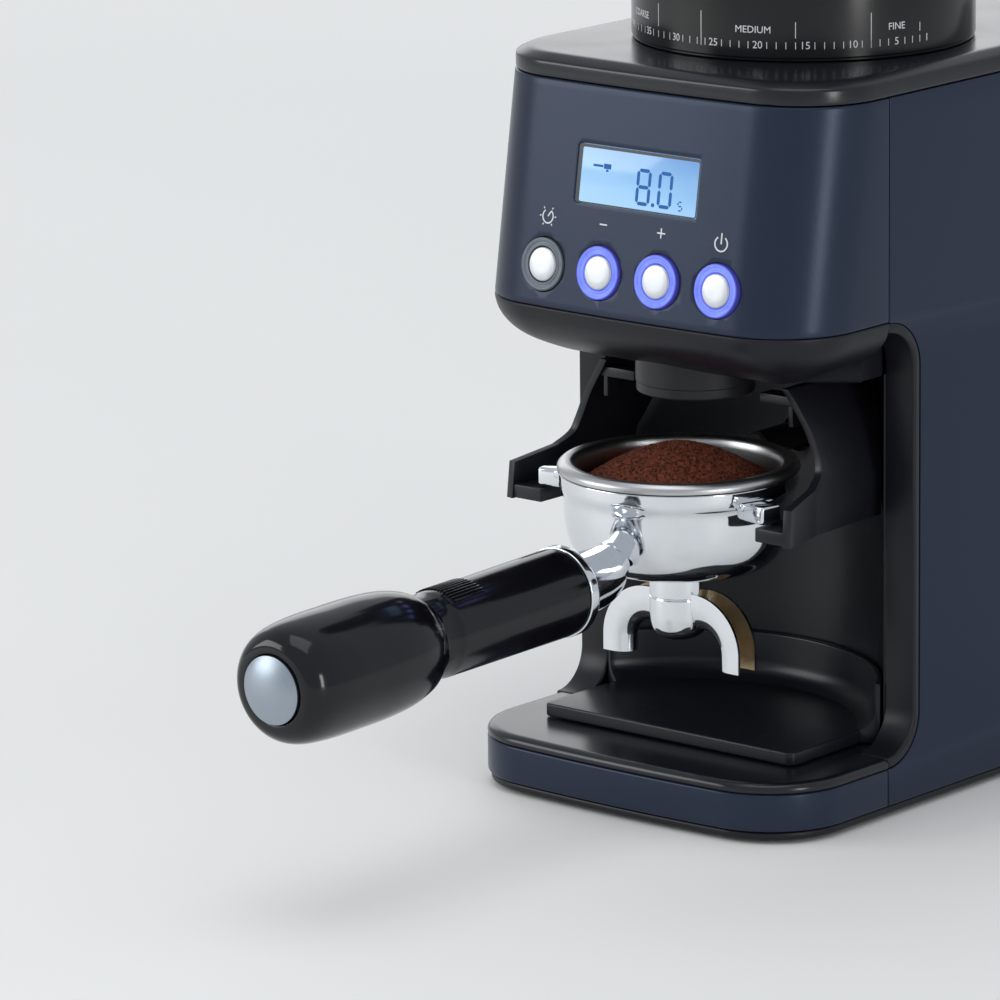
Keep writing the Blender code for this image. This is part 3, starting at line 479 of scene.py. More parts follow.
SATIN = moulded(
    "satin_black_plastic", (0.0052, 0.0052, 0.0080), (0.0105, 0.0105, 0.0150), 0.30, 3200, 0.10)
TRAY_BLACK = moulded(
    "tray_black_plastic", (0.0060, 0.0064, 0.0095), (0.0120, 0.0125, 0.0180), 0.22, 2600, 0.06)
LID_BLACK = moulded(
    "lid_black_plastic", (0.0045, 0.0048, 0.0080), (0.0090, 0.0095, 0.0140), 0.15, 3200, 0.06, 0.45)
CRADLE_GREY = moulded(
    "cradle_plastic", (0.0062, 0.0064, 0.0095), (0.0125, 0.0125, 0.0175), 0.30, 2800, 0.12, 0.4)
SPOUT_GREY = moulded(
    "spout_plastic", (0.011, 0.011, 0.013), (0.020, 0.020, 0.023), 0.32, 2600, 0.12)
GLOSSY_SCALE = moulded(
    "collar_black_plastic", (0.0045, 0.0045, 0.0052), (0.0080, 0.0080, 0.0092), 0.12, 1800, 0.03, 0.4)
INNER_GREY = moulded(
    "inner_grey_plastic", (0.030, 0.030, 0.033), (0.055, 0.055, 0.060), 0.40, 1500, 0.20)
RUBBER = moulded(
    "foot_rubber", (0.010, 0.010, 0.010), (0.022, 0.022, 0.022), 0.70, 1900, 0.35, 0.25)
print("plastics:", SATIN.name, TRAY_BLACK.name, CRADLE_GREY.name, SPOUT_GREY.name)


# %% The handle's gloss black
def gloss_handle():
    r = Recipe("gloss_handle")
    ripple = r.noise(160, 2)
    smudge = r.noise(90, 5, roughness=0.7)
    return r.surface(
        Base_Color=r.blend(smudge, (0.0025, 0.0025, 0.0035), (0.0055, 0.0052, 0.0075)),
        Roughness=0.07 + 0.13 * smudge, Coat_Weight=0.10, Coat_Roughness=0.05, Specular_IOR_Level=0.32,
        Normal=r.bump(ripple, 0.04, 0.0006),
    )


GLOSS = gloss_handle()


# %% [markdown]
# ## Metals
#
# The portafilter is cast brass, polished and chrome plated: almost a mirror, with slow waves left by the
# polishing wheel and thin smears where it was wiped. The basket is pressed stainless steel, and its rolled
# rim keeps the circular scratches of spinning. Turned pieces carry a UV map that runs round the axis, and a
# noise stretched along it makes those scratches follow the metal round.

# %% Chrome and steels
def chrome():
    r = Recipe("chrome")
    waves = r.noise(95, 2)
    smears = r.noise(160, 5, roughness=0.75)
    return r.surface(
        Base_Color=r.blend(smears, (0.70, 0.73, 0.77), (0.82, 0.84, 0.87)), Metallic=1.0,
        Roughness=0.035 + 0.07 * smears, Normal=r.bump(waves, 0.05, 0.0010),
    )


def turned_metal(name, dark, light, rough, lines, depth):
    """Metal with scratches that run round a turned piece's axis."""
    r = Recipe(name)
    around = r.node("ShaderNodeUVMap", {"uv_map": "turned"})
    scratches = r.noise(1.0, 4, r.stretched(around, (6, lines, 1)), 0.7)
    stain = r.noise(120, 4)
    return r.surface(
        Base_Color=r.blend(scratches, dark, light), Metallic=1.0,
        Roughness=rough + 0.12 * scratches + 0.08 * stain, Normal=r.bump(scratches, depth, 0.0003),
    )


def plain_metal(name, dark, light, rough, scale):
    """Machined metal for solids without a UV map: fine noise squeezed into level lines."""
    r = Recipe(name)
    lines = r.noise(1.0, 3, r.stretched(r.place(), (scale, scale, 12 * scale)))
    return r.surface(
        Base_Color=r.blend(lines, dark, light), Metallic=1.0, Roughness=rough + 0.15 * lines,
        Normal=r.bump(lines, 0.10, 0.0002),
    )


CHROME = chrome()
SATIN_STEEL = turned_metal("satin_steel", (0.30, 0.35, 0.40), (0.40, 0.45, 0.51), 0.30, 5000, 0.05)
BRUSHED = turned_metal("brushed_steel", (0.40, 0.40, 0.41), (0.66, 0.66, 0.67), 0.20, 9000, 0.12)
CAP_METAL = turned_metal("button_cap_metal", (0.44, 0.46, 0.49), (0.66, 0.68, 0.71), 0.30, 12000, 0.12)
MACHINED = plain_metal("machined_steel", (0.42, 0.42, 0.44), (0.60, 0.60, 0.61), 0.22, 300)
BRASS = plain_metal("brass_gear", (0.52, 0.36, 0.13), (0.70, 0.52, 0.22), 0.25, 260)
MOTOR = plain_metal("motor_steel", (0.26, 0.27, 0.29), (0.40, 0.41, 0.43), 0.32, 180)
print("metals:", CHROME.name, BRUSHED.name, CAP_METAL.name, MACHINED.name, BRASS.name, MOTOR.name)


# %% [markdown]
# ## Coffee, stains, print, light and glass
#
# Ground coffee is dull and mottled, from red brown to nearly black. The open channels of the spouts are
# bare brass inside, browned by coffee. Marks on the panel are pad printed in a white ink. The display is
# lit from one side, so its blue is a little stronger there, and the hopper is smoked clear plastic.

# %% Coffee and stain
def ground_coffee():
    r = Recipe("ground_coffee")
    grains = r.node("ShaderNodeTexVoronoi", {}, {"Vector": r.place(), "Scale": 1500.0}, output="Color")
    shade = r.node("ShaderNodeSeparateColor", {}, {"Color": grains})
    lumps = r.noise(420, 4)
    brown = r.blend(shade, (0.030, 0.007, 0.003), (0.300, 0.078, 0.040))
    return r.surface(
        Base_Color=r.blend(lumps * 0.35, brown, (0.060, 0.018, 0.010)), Roughness=0.62 + 0.3 * lumps,
        Specular_IOR_Level=0.25, Normal=r.bump(lumps, 0.5, 0.0004),
    )


def stained_brass():
    r = Recipe("stained_brass")
    stain = r.noise(260, 5, roughness=0.65)
    return r.surface(
        Base_Color=r.blend(stain, (0.24, 0.16, 0.08), (0.52, 0.42, 0.26)), Metallic=0.75,
        Roughness=0.28 + 0.25 * stain, Normal=r.bump(stain, 0.08, 0.0003),
    )


COFFEE = ground_coffee()
STAINED = stained_brass()


# %% Ink, display and lights
def ink(name, low, high):
    """Printed ink, slightly uneven in its cover."""
    r = Recipe(name)
    cover = r.noise(1800, 3)
    return r.surface(
        Base_Color=r.blend(cover, low, high), Roughness=0.45 + 0.15 * cover, Specular_IOR_Level=0.15,
    )


def ring_plastic(name, rim, low, high, strength):
    """Translucent plastic lit from behind, darker at its outer edge, which lies first along the section."""
    r = Recipe(name)
    glow = r.noise(240, 2)
    around = r.node("ShaderNodeUVMap", {"uv_map": "turned"})
    along = r.node("ShaderNodeSeparateXYZ", {}, {"Vector": around}, output=1)
    rim_end, fade = 0.0053, 1400  # metres along the section, and how fast the rim's colour gives way
    inside = r.node("ShaderNodeClamp", {}, {"Value": (along - rim_end) * fade})
    colour = r.blend(inside, rim, r.blend(glow, low, high))
    return r.surface(
        Base_Color=colour, Emission_Color=colour, Emission_Strength=strength, Roughness=0.18 + 0.05 * glow,
        Specular_IOR_Level=0.3,
    )


def lcd_backlight():
    """Light from the display's side, brightest low down and at the left."""
    r = Recipe("lcd_backlight")
    x, z = (r.node("ShaderNodeSeparateXYZ", {}, {"Vector": r.place()}, output=axis) for axis in (0, 2))
    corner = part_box("lcd_window")[0]
    width, tall = 0.045, 0.017
    height = (z - corner.z) * (1 / tall)
    across = (x - corner.x) * (1 / width)
    cloud = r.noise(120, 2)
    share = 0.62 * height + 0.30 * across + 0.16 * cloud
    blue = r.node(
        "ShaderNodeValToRGB",
        {"stops": [(0.0, (0.46, 0.74, 1.0)), (1.0, (0.17, 0.36, 0.72)), (0.45, (0.34, 0.62, 0.95))]},
        {"Fac": share},
    )
    return r.surface(
        Base_Color=(0.02, 0.03, 0.05), Emission_Color=blue, Emission_Strength=0.95, Roughness=0.12,
    )


WHITE_INK = ink("white_ink", (0.62, 0.63, 0.65), (0.80, 0.81, 0.83))
LCD_INK = ink("lcd_ink", (0.020, 0.12, 0.38), (0.028, 0.15, 0.46))
LIT_RING = ring_plastic("light_ring", (0.03, 0.03, 0.22), (0.10, 0.12, 0.70), (0.19, 0.27, 0.95), 0.60)
DARK_RING = ring_plastic("light_ring_off", (0.05, 0.06, 0.07), (0.13, 0.15, 0.18), (0.20, 0.23, 0.27), 0.0)
BACKLIGHT = lcd_backlight()


# %% Clear plastic and boards
def smoked_clear():
    r = Recipe("smoked_hopper")
    wave = r.noise(60, 2)
    return r.surface(
        Base_Color=r.blend(wave, (0.30, 0.30, 0.32), (0.36, 0.36, 0.38)), Transmission_Weight=0.92, IOR=1.49,
        Roughness=0.03 + 0.05 * wave, Normal=r.bump(wave, 0.03, 0.0006),
    )


def circuit_board():
    """Green lacquer over copper tracks."""
    r = Recipe("circuit_board")
    tracks = r.node(
        "ShaderNodeTexBrick", {"offset": 0.5},
        {"Vector": r.place(), "Scale": 160.0, "Mortar Size": 0.06, "Color1": (0, 0, 0), "Color2": (0, 0, 0),
         "Mortar": (1, 1, 1)},
    )
    share = r.node("ShaderNodeSeparateColor", {}, {"Color": tracks})
    return r.surface(
        Base_Color=r.blend(share, (0.008, 0.070, 0.030), (0.030, 0.180, 0.075)),
        Roughness=0.30 + 0.15 * r.noise(300), Normal=r.bump(share, 0.15, 0.0002),
    )


SMOKED = smoked_clear()
BOARD = circuit_board()
MODULE = moulded("display_module", (0.30, 0.32, 0.34), (0.45, 0.47, 0.49), 0.45, 900, 0.1)


# %% [markdown]
# ## The housing's outline
#
# Seen from above, the front of the machine is one line: a seam on each side, a wide round corner and a
# face that bows out by just over a millimetre. The panel, lid, trims and base all follow it, each with its
# own small inset, so that the pieces sit flush. The rear shell has the same kind of line with tighter
# corners. The edge of each sheet turns in by half a millimetre, which draws the dark joint lines.

# %% Outlines seen from above
EDGE_TURN = ((0.55, 0.0), (0.2, 0.12), (0.04, 0.36), (0.0, 0.7))  # how a sheet's end rounds off: (in, along)


def front_line(front, inset=0.0, seam_x=0.0, turned=False):
    """Left seam, corner, bowed front, corner, right seam."""
    radius = max(CORNER - inset, 2.0)
    flat = HALF_WIDTH - inset - radius
    corner = arc((flat, front + BOW + inset + radius), radius, -90, 0, 20)
    middle = []
    for i in range(1, 32):
        x = flat * (i / 16 - 1)
        middle.append((x, front + inset + BOW * (x / flat) ** 2))
    side = max(HALF_WIDTH - inset, seam_x)
    end = SEAM_Y - HALF_GAP
    seam = [(side - x, end - y) for x, y in reversed(EDGE_TURN)] if turned else [(side, end)]
    right = [*corner, *seam]
    left = [(-x, y) for x, y in reversed(right)]
    return [*left, *middle, *right]


def rear_line(inset=0.0, turned=False):
    """Right seam, rear corners, left seam."""
    radius = REAR_CORNER - inset
    side = HALF_WIDTH - inset
    start = SEAM_Y + HALF_GAP
    seam = [(side - x, start + y) for x, y in EDGE_TURN] if turned else [(side, start)]
    right = [*seam, *arc((side - radius, BODY_REAR - inset - radius), radius, 0, 90, 16)]
    return [*right, *((-x, y) for x, y in reversed(right))]


def recess_arc(radius, half_width, steps=48):
    """Round the back of the recess from right to left, about the portafilter's axis."""
    angle = math.degrees(math.acos(half_width / radius))
    return arc((0, FILTER_Y), radius, angle, 180 - angle, steps)


def recess_tail(radius, half_width):
    """Behind the seam: in to the side trims, and round the recess."""
    end = SEAM_Y - HALF_GAP
    return [(half_width, end), *recess_arc(radius, half_width), (-half_width, end)]


CROWDED = 0.02  # between the points added at a line's end


def crowd(end, towards, count):
    """More points on a line, from its end a little way towards the next point."""
    step = math.copysign(CROWDED, towards[1] - end[1])
    return [(end[0], end[1] + step * (i + 1)) for i in range(count)]


def resample(points, count):
    """The same open line with more points at its ends, so that two lines have equally many."""
    extra = count - len(points)
    first = crowd(points[0], points[1], extra // 2)
    last = crowd(points[-1], points[-2], extra - extra // 2)
    return [points[0], *first, *points[1:-1], *reversed(last), points[-1]]


def sheet_part(name, rows, line):
    """A bent sheet from rows of (height, front, inset): its outside, and its inside one wall further in."""
    made = []
    for z, front, inset in rows:
        start = [front] if line is front_line else []
        outside = line(*start, inset, turned=True)
        inside = resample(line(*start, SHEET), len(outside))
        made.append(level([*outside, *reversed(inside)], z))
    return loft(name, made)


# %% [markdown]
# ## The panel's own frame
#
# The front panel leans back a few degrees. Everything on it is drawn flat, with x across, y up the panel
# and z out of it, and one matrix tilts it into place. The tilt comes from the buttons' joints, which press
# straight into the panel.

# %% Panel frame
PRESS = Vector(next(joint for joint in frame["joints"] if joint["name"] == "button_press_1")["axis"])
LEAN = math.atan2(-PRESS.y, -PRESS.z)
PANEL_LENGTH = math.hypot(HEAD_TOP - HEAD_BOTTOM, HEAD_FRONT_HIGH - HEAD_FRONT_LOW)
PANEL = Matrix.Translation((0, (HEAD_FRONT_LOW + HEAD_FRONT_HIGH) / 2, (HEAD_BOTTOM + HEAD_TOP) / 2))
PANEL = PANEL @ Matrix.Rotation(-LEAN, 4, "X")
print(f"the panel leans back {90 - abs(math.degrees(LEAN)):.1f} degrees, and is {PANEL_LENGTH:.1f} mm long")
FROM_PANEL = PANEL.inverted()


def on_panel(node):
    """A node's middle, in the panel's own frame."""
    return FROM_PANEL @ Vector(middle_of(node))


def sink(x):
    """How far the bowed panel lies below its own middle, at a distance to the side."""
    return -BOW * (x / (HALF_WIDTH - CORNER)) ** 2


DISPLAY = on_panel("lcd_window")
DISPLAY_SIZE = (44.8, 17.1)
AT_DISPLAY = PANEL @ Matrix.Translation((DISPLAY.x, DISPLAY.y, 0))
BUTTONS = [on_panel(f"button_ring_{number}") for number in range(1, 5)]
RING_RADIUS = 7.9
CAP_RADIUS = 5.1


def rounded_rectangle(width, height, radius, steps=5):
    x, y = width / 2 - radius, height / 2 - radius
    corners = ((x, -y), (x, y), (-x, y), (-x, -y))
    return [point for turn, corner in enumerate(corners)
            for point in arc(corner, radius, 90 * turn - 90, 90 * turn, steps)]


# %% [markdown]
# ## Front panel
#
# One pressed sheet with a window for the display and four round holes. The holes are cut with Boolean
# modifiers, as a press tool punches them, and a small bevel softens what the punch leaves.

# %% Make the front panel
SHEET_EDGE = ((0.0, 0.6), (0.12, 0.27), (0.35, 0.072), (0.7, 0.0))  # a rounded edge: (height, inset)
TALL = 30  # a sheet taller than this has as many rows as that
THROUGH = 20.0  # how far a cutter reaches to each side of a wall


def height_rows(low, high, front_low, front_high):
    """Rows of (height, front, inset) up a sheet whose two long edges are rounded."""
    between = [(low + (high - low) * i / TALL, 0.0) for i in range(1, TALL)] if high - low > TALL else []
    heights = [*((low + z, inset) for z, inset in SHEET_EDGE), *between,
               *((high - z, inset) for z, inset in reversed(SHEET_EDGE))]
    lean = (front_high - front_low) / (high - low)
    return [(z, front_low + lean * (z - low), inset) for z, inset in heights]


def make_front_panel():
    rows = height_rows(HEAD_BOTTOM + HALF_GAP, HEAD_TOP, HEAD_FRONT_LOW, HEAD_FRONT_HIGH)
    panel = sheet_part("front_panel_skin", rows, front_line)
    outline = rounded_rectangle(DISPLAY_SIZE[0] + 2 * GAP, DISPLAY_SIZE[1] + 2 * GAP, 1.2)
    window = prism("window", outline, -THROUGH, THROUGH)
    window.data.transform(AT_DISPLAY)
    holes = []
    for number, spot in enumerate(BUTTONS, 1):
        place = PANEL @ Matrix.Translation((spot.x, spot.y, 0))
        holes.append(round_cutter(f"button_hole_{number}", RING_RADIUS + GAP, -THROUGH, THROUGH, 64, place))
    punch(panel, window, *holes)
    bevel(panel, 0.22, 2, 60)
    return settle(panel, "body", PAINT, "painted_steel", "front_panel")


print("front panel:", len(make_front_panel().data.polygons), "faces")

# %% [markdown]
# ## Rear shell
#
# The rear shell wraps the sides and the back. Its front edge is cut back in a C shape round the recess, and
# the back has a row of vent slots for the motor's air. The slots repeat by a rule, so Geometry Nodes make
# the tool that cuts them: a line of square bars, realised as one mesh and used in a Boolean, and the shell's
# bevel then rounds the slots' edges.

# %% Geometry Nodes helpers
class Rule:
    """A Geometry Nodes tree with named inputs, built up node by node and then run once."""

    def __init__(self, name, **inputs):
        self.tree = bpy.data.node_groups.new(name, "GeometryNodeTree")
        self.tree.interface.new_socket("Geometry", in_out="INPUT", socket_type="NodeSocketGeometry")
        kinds = {int: "NodeSocketInt", float: "NodeSocketFloat", tuple: "NodeSocketVector"}
        self.names = {}
        for name_, value in inputs.items():
            socket = self.tree.interface.new_socket(name_, in_out="INPUT", socket_type=kinds[type(value)])
            socket.default_value = value
            self.names[name_] = (socket.identifier, value)
        self.tree.interface.new_socket("Geometry", in_out="OUTPUT", socket_type="NodeSocketGeometry")
        self.start = self.tree.nodes.new("NodeGroupInput")
        self.end = self.tree.nodes.new("NodeGroupOutput")

    def value(self, name):
        return self.start.outputs[name]

    def node(self, kind, settings=None, sockets=None, output=0):
        made = self.tree.nodes.new(kind)
        for name, value in (settings or {}).items():
            setattr(made, name, value)
        for name, value in (sockets or {}).items():
            if isinstance(value, bpy.types.NodeSocket):
                self.tree.links.new(value, made.inputs[name])
            else:
                made.inputs[name].default_value = value
        return made.outputs[output]

    def math(self, operation, first, second=0.0):
        return self.node("ShaderNodeMath", {"operation": operation}, {0: first, 1: second})

    def vector(self, x=0.0, y=0.0, z=0.0):
        return self.node("ShaderNodeCombineXYZ", {}, {0: x, 1: y, 2: z})

    def line(self, count, step=(0.0, 0.0, 1.0)):
        """A line of points to put things on."""
        return self.node("GeometryNodeMeshLine", {}, {"Count": count, "Offset": step})

    def instances(self, points, thing, turn=(0.0, 0.0, 0.0), size=(1.0, 1.0, 1.0)):
        sockets = {"Points": points, "Instance": thing, "Rotation": turn, "Scale": size}
        return self.node("GeometryNodeInstanceOnPoints", {}, sockets)

    def run(self, name, geometry, look, seed_mesh=None):
        """Ends the tree, runs it on a mesh, and gives the result back as a plain mesh."""
        real = self.node("GeometryNodeRealizeInstances", {}, {"Geometry": geometry})
        finished = self.node("GeometryNodeSetMaterial", {}, {"Geometry": real, "Material": look})
        self.tree.links.new(finished, self.end.inputs["Geometry"])
        host = new_object(name, seed_mesh or bpy.data.meshes.new(name))
        modifier = host.modifiers.new(name, "NODES")
        modifier.node_group = self.tree
        for identifier, value in self.names.values():
            modifier[identifier] = value
        mesh = baked(host)
        host.modifiers.clear()
        host.data = mesh
        return host


def blocks_on_circle(name, look, size, radius, height, count, pitch, start=0.0, group=None):
    """Equal blocks round the axis, at angles in degrees. One place stays free after each group of blocks."""
    rule = Rule(name, size=size, radius=radius, height=height, count=count, pitch=pitch, start=start,
                group=float(group or count))
    index = rule.node("GeometryNodeInputIndex")
    skipped = rule.math("FLOOR", rule.math("DIVIDE", index, rule.value("group")))
    turned = rule.math("MULTIPLY", rule.math("ADD", index, skipped), rule.value("pitch"))
    angle = rule.math("RADIANS", rule.math("ADD", turned, rule.value("start")))
    x = rule.math("MULTIPLY", rule.math("COSINE", angle), rule.value("radius"))
    y = rule.math("MULTIPLY", rule.math("SINE", angle), rule.value("radius"))
    spot = rule.vector(x, y, rule.value("height"))
    line = rule.line(rule.value("count"))
    placed = rule.node("GeometryNodeSetPosition", {}, {"Geometry": line, "Position": spot})
    one = rule.node("GeometryNodeMeshCube", {}, {"Size": rule.value("size")})
    return rule.run(name, rule.instances(placed, one, rule.vector(z=angle)), look)


# %% Vent slots and the rear shell
LOWEST_SLOT = 45.0  # its height over the table


def vent_tool():
    rule = Rule("vent_slots", slots=6, pitch=8.0, size=(50.0, THROUGH, 3.2))
    bar = rule.node("GeometryNodeMeshCube", {}, {"Size": rule.value("size")})
    line = rule.line(rule.value("slots"), rule.vector(z=rule.value("pitch")))
    tool = rule.run("vent_tool", rule.instances(line, bar), PAINT)
    tool.data.transform(Matrix.Translation((0, BODY_REAR, LOWEST_SLOT)))
    return tool


def level_hole(name, radius, x, y, z, reach=THROUGH):
    """A cutter for a hole from front to back."""
    place = Matrix.Translation((x, y, z)) @ Matrix.Rotation(math.pi / 2, 4, "X")
    return round_cutter(name, radius, -reach, reach, place=place)


def make_rear_shell():
    rows = height_rows(span("rear_shell")[0].z, HEAD_TOP, 0, 0)
    shell = sheet_part("rear_shell_skin", rows, rear_line)
    back = span("side_trim_right")[1].y + GAP
    radius = back - SEAM_Y
    bottom = span("side_trim_right")[0].z - GAP
    shape = [(SEAM_Y - THROUGH, bottom), *arc((back - radius, bottom + radius), radius, -90, 0, 16),
             *arc((back - radius, HEAD_BOTTOM - radius), radius, 0, 90, 16), (SEAM_Y - THROUGH, HEAD_BOTTOM)]
    beyond = HALF_WIDTH + THROUGH
    notch = loft("recess_notch", [[(x, y, z) for y, z in shape] for x in (-beyond, beyond)])
    gland_x, _, gland_z = middle_of("cable_gland")
    hole = level_hole("gland_hole", 5.3, gland_x, BODY_REAR, gland_z)
    punch(shell, notch, hole, vent_tool())
    bevel(shell, 0.35, 2, 60)
    return settle(shell, "body", PAINT, "painted_steel", "rear_shell")


print("rear shell:", len(make_rear_shell().data.polygons), "faces")


# %% [markdown]
# ## Base, feet and side trims
#
# The base is a painted band under a black moulded cover, which slopes in at its top edge. It stands on four
# rubber feet that show as small bulges under the pan. The side trims are C-shaped mouldings that finish the
# raw edge of the shell round the recess.

# %% Make the base
FOOT_RADIUS = 9.0


def make_foot(number):
    """Makes a foot, and gives back the cutter for its hole in the pan."""
    x, y, _ = middle_of(f"foot_{number}")
    top = span(f"foot_{number}")[1].z
    place = Matrix.Translation((x, y, 0))
    side = rounded([(0, 0), (7.2, 0, 0.6), (FOOT_RADIUS, 1.6, 0.8), (FOOT_RADIUS, top, 0.3), (0, top)])
    foot = lathe(f"foot_{number}_rubber", [(0, 0.4), (5.0, 0.4), (5.6, 0.0), *side[1:]], 48, place)
    settle(foot, "body", RUBBER, "foot_rubber", f"foot_{number}")
    return round_cutter(f"foot_hole_{number}", FOOT_RADIUS + GAP, -5, 9, place=place)


def make_base():
    low, high = span("base_band")
    band = sheet_part("base_band_skin", height_rows(low.z, high.z, BASE_FRONT, BASE_FRONT), front_line)
    settle(band, "body", PAINT, "painted_steel", "base_band")
    low, high = span("base_cover")
    tail = recess_tail(RECESS - GAP, LIP_INNER - GAP)
    rows = [(low.z, 0.35), (low.z + 0.15, 0.1), (low.z + 0.45, 0.0), (low.z + 0.95, 0.0),
            (low.z + 1.5, 0.12), (low.z + 2.0, 0.45), (low.z + 2.45, 0.95), (high.z - 0.18, 1.7),
            (high.z - 0.04, 2.2), (high.z, 2.9)]
    lines = [level([*front_line(BASE_FRONT, inset, LIP_INNER + 0.7), *tail], z) for z, inset in rows]
    cover = loft("base_cover_skin", lines)
    settle(cover, "body", LID_BLACK, "black_plastic", "base_cover")
    low, high = span("base_pan")
    outline = [*front_line(BASE_FRONT, 1.0), *rear_line(1.0)]
    pan = bevel(prism("base_pan_skin", outline, low.z, high.z), 0.8)
    punch(pan, *[make_foot(number) for number in range(1, 5)])
    settle(pan, "body", SATIN, "black_plastic", "base_pan")


make_base()


# %% Make the side trims
def make_side_trims():
    for side in ("left", "right"):
        low, high = span(f"side_trim_{side}")
        depth = 3.1
        outer = high.y - (SEAM_Y + HALF_GAP)
        inner = outer - depth + 0.6
        middle = high.y - outer
        shape = arc((middle, low.z + outer), outer, -90, 0, 16)
        shape += arc((middle, high.z - outer), outer, 0, 90, 16)
        front = high.y - depth + GAP
        shape += arc((front - inner, high.z - depth - inner), inner, 90, 0, 16)
        shape += arc((front - inner, low.z + depth + inner), inner, 0, -90, 16)
        trim = loft(f"side_trim_{side}_moulding", [[(x, y, z) for y, z in shape] for x in (low.x, high.x)])
        bevel(trim, 0.7, 3, 40)
        settle(trim, "body", SATIN, "black_plastic", f"side_trim_{side}")


make_side_trims()
print("base, feet and trims are in place")


# %% [markdown]
# ## Recess wall, head trim and lid
#
# The head's black underside sweeps back from the panel's lower edge in one curve. It is a loft with many
# rows through a few known heights, smoothed by a curve that passes through each of them. The lid has a
# broad sloping rim, which catches the light as a thin bright line round the head.

# %% Make the recess wall
def make_column_wall():
    low, high = span("column_wall")
    wall = 1.8
    half = (LIP_INNER - GAP) * RECESS / (RECESS + wall)
    front = recess_arc(RECESS, half)
    back = recess_arc(RECESS + wall, half * (RECESS + wall) / RECESS)
    column = prism("recess_wall", [*back, *reversed(front)], low.z, high.z)
    punch(column, level_hole("plunger_hole", 4.8, 0, 0, middle_of("start_plunger")[2], 30))
    settle(column, "body", TRAY_BLACK, "black_plastic", "column_wall")


# %% Make the head trim
def make_head_trim():
    low, high = span("head_trim")
    profile = [
        (low.z, 29.0), (low.z + 0.35, 26.2), (low.z + 1.8, 21.0), (low.z + 4.0, 15.0), (low.z + 6.5, 9.3),
        (low.z + 9.0, 5.4), (low.z + 11.6, 2.8), (low.z + 14.2, 1.1), (low.z + 16.6, 0.25),
        (high.z - 0.9, 0.0), (high.z - 0.3, 0.05), (high.z, 0.5),
    ]
    outside = smooth_rows(profile, 4)
    wall = 2.0
    inside = [(max(z, low.z + wall), min(inset + wall, 30.0)) for z, inset in reversed(outside)]
    inside = [(min(z, high.z - 0.01 * i), inset) for i, (z, inset) in enumerate(inside) if inset < 29.9]
    half = LIP_INNER - GAP
    rows = []
    for line, deeper in ((outside, 0.0), (inside, wall)):
        tail = recess_tail(RECESS - GAP - deeper, half - deeper)
        for z, inset in line:
            rows.append(level([*front_line(HEAD_FRONT_LOW, inset, half - deeper + 1.0), *tail], z))
    tub = loft("head_trim_moulding", rows)
    x, y, _ = middle_of("chute_spout")
    radius = span("chute_spout")[1].x + GAP
    place = Matrix.Translation((x, y, low.z))
    punch(tub, round_cutter("spout_hole", radius, -THROUGH, THROUGH, 64, place))
    settle(tub, "body", SATIN, "black_plastic", "head_trim", smooth=30)


# %% Make the lid
COLLAR_HOLE = 47.0  # the radius of the opening that the collar turns in


def make_top_cover():
    low, high = span("top_cover")
    outside = [(low.z, 0.75), (low.z + 0.15, 0.4), (low.z + 0.45, 0.22), (low.z + 0.9, LID_INSET),
               (low.z + 3.8, LID_INSET), (low.z + 4.3, 0.3), (low.z + 4.7, 0.62), (low.z + 5.0, 1.05),
               (high.z - 0.42, 3.3), (high.z - 0.16, 4.1), (high.z - 0.03, 5.0), (high.z, 6.0)]
    inside = [(high.z - 2.2, 7.0), (high.z - 2.6, 4.6), (low.z + 3.6, 2.4), (low.z, 2.4)]
    rows = []
    for z, inset in [*inside, *outside]:
        rows.append(level([*front_line(HEAD_FRONT_HIGH, inset), *rear_line(inset)], z))
    lid = loft("lid_moulding", rows)
    punch(lid, round_cutter("collar_hole", COLLAR_HOLE, 200, 240, 128))
    return settle(lid, "body", LID_BLACK, "black_plastic", "top_cover", smooth=30)


make_column_wall()
make_head_trim()
print("lid:", len(make_top_cover().data.polygons), "faces")


# %% [markdown]
# ## Display
#
# A reflective glass over a blue backlight. The reading is a seven-segment one: each digit is seven short
# bars with pointed ends, switched on or off by a small table, as in the real part. A thin dark mask frames
# the blue as the display's own border. It is widest at its left and along its top, and that extra width is
# painted shadow of the window's edge on the sunken glass.

# %% Seven-segment reading
SEGMENTS = {"8": "abcdefg", "0": "abcdef", "s": "acdfg"}
DIGIT = (5.3, 10.6)  # one large digit's width and height
STROKE = 1.05


def bar(start, end, stroke):
    """A bar with pointed ends between two points, as an outline."""
    a, b = Vector(start), Vector(end)
    along = (b - a).normalized()
    across = Vector((-along.y, along.x)) * stroke / 2
    tip = along * stroke / 2
    a, b = a + along * 0.18, b - along * 0.18
    return [a, a + tip - across, b - tip - across, b, b - tip + across, a + tip + across]


def digit_bars(digit, corner, size, stroke):
    """The outlines of a digit's lit bars, the digit's lower left corner at a point."""
    w, h = size[0] - stroke, size[1] - stroke
    x, y = corner[0] + stroke / 2, corner[1] + stroke / 2
    ends = {
        "a": ((x, y + h), (x + w, y + h)), "b": ((x + w, y + h / 2), (x + w, y + h)),
        "c": ((x + w, y), (x + w, y + h / 2)), "d": ((x, y), (x + w, y)),
        "e": ((x, y), (x, y + h / 2)), "f": ((x, y + h / 2), (x, y + h)),
        "g": ((x, y + h / 2), (x + w, y + h / 2)),
    }
    return [bar(*ends[letter], stroke) for letter in SEGMENTS[digit]]


FACE = -0.75  # the glass's height over the panel, so it lies below it
GLASS = rounded_rectangle(*DISPLAY_SIZE, 0.9)


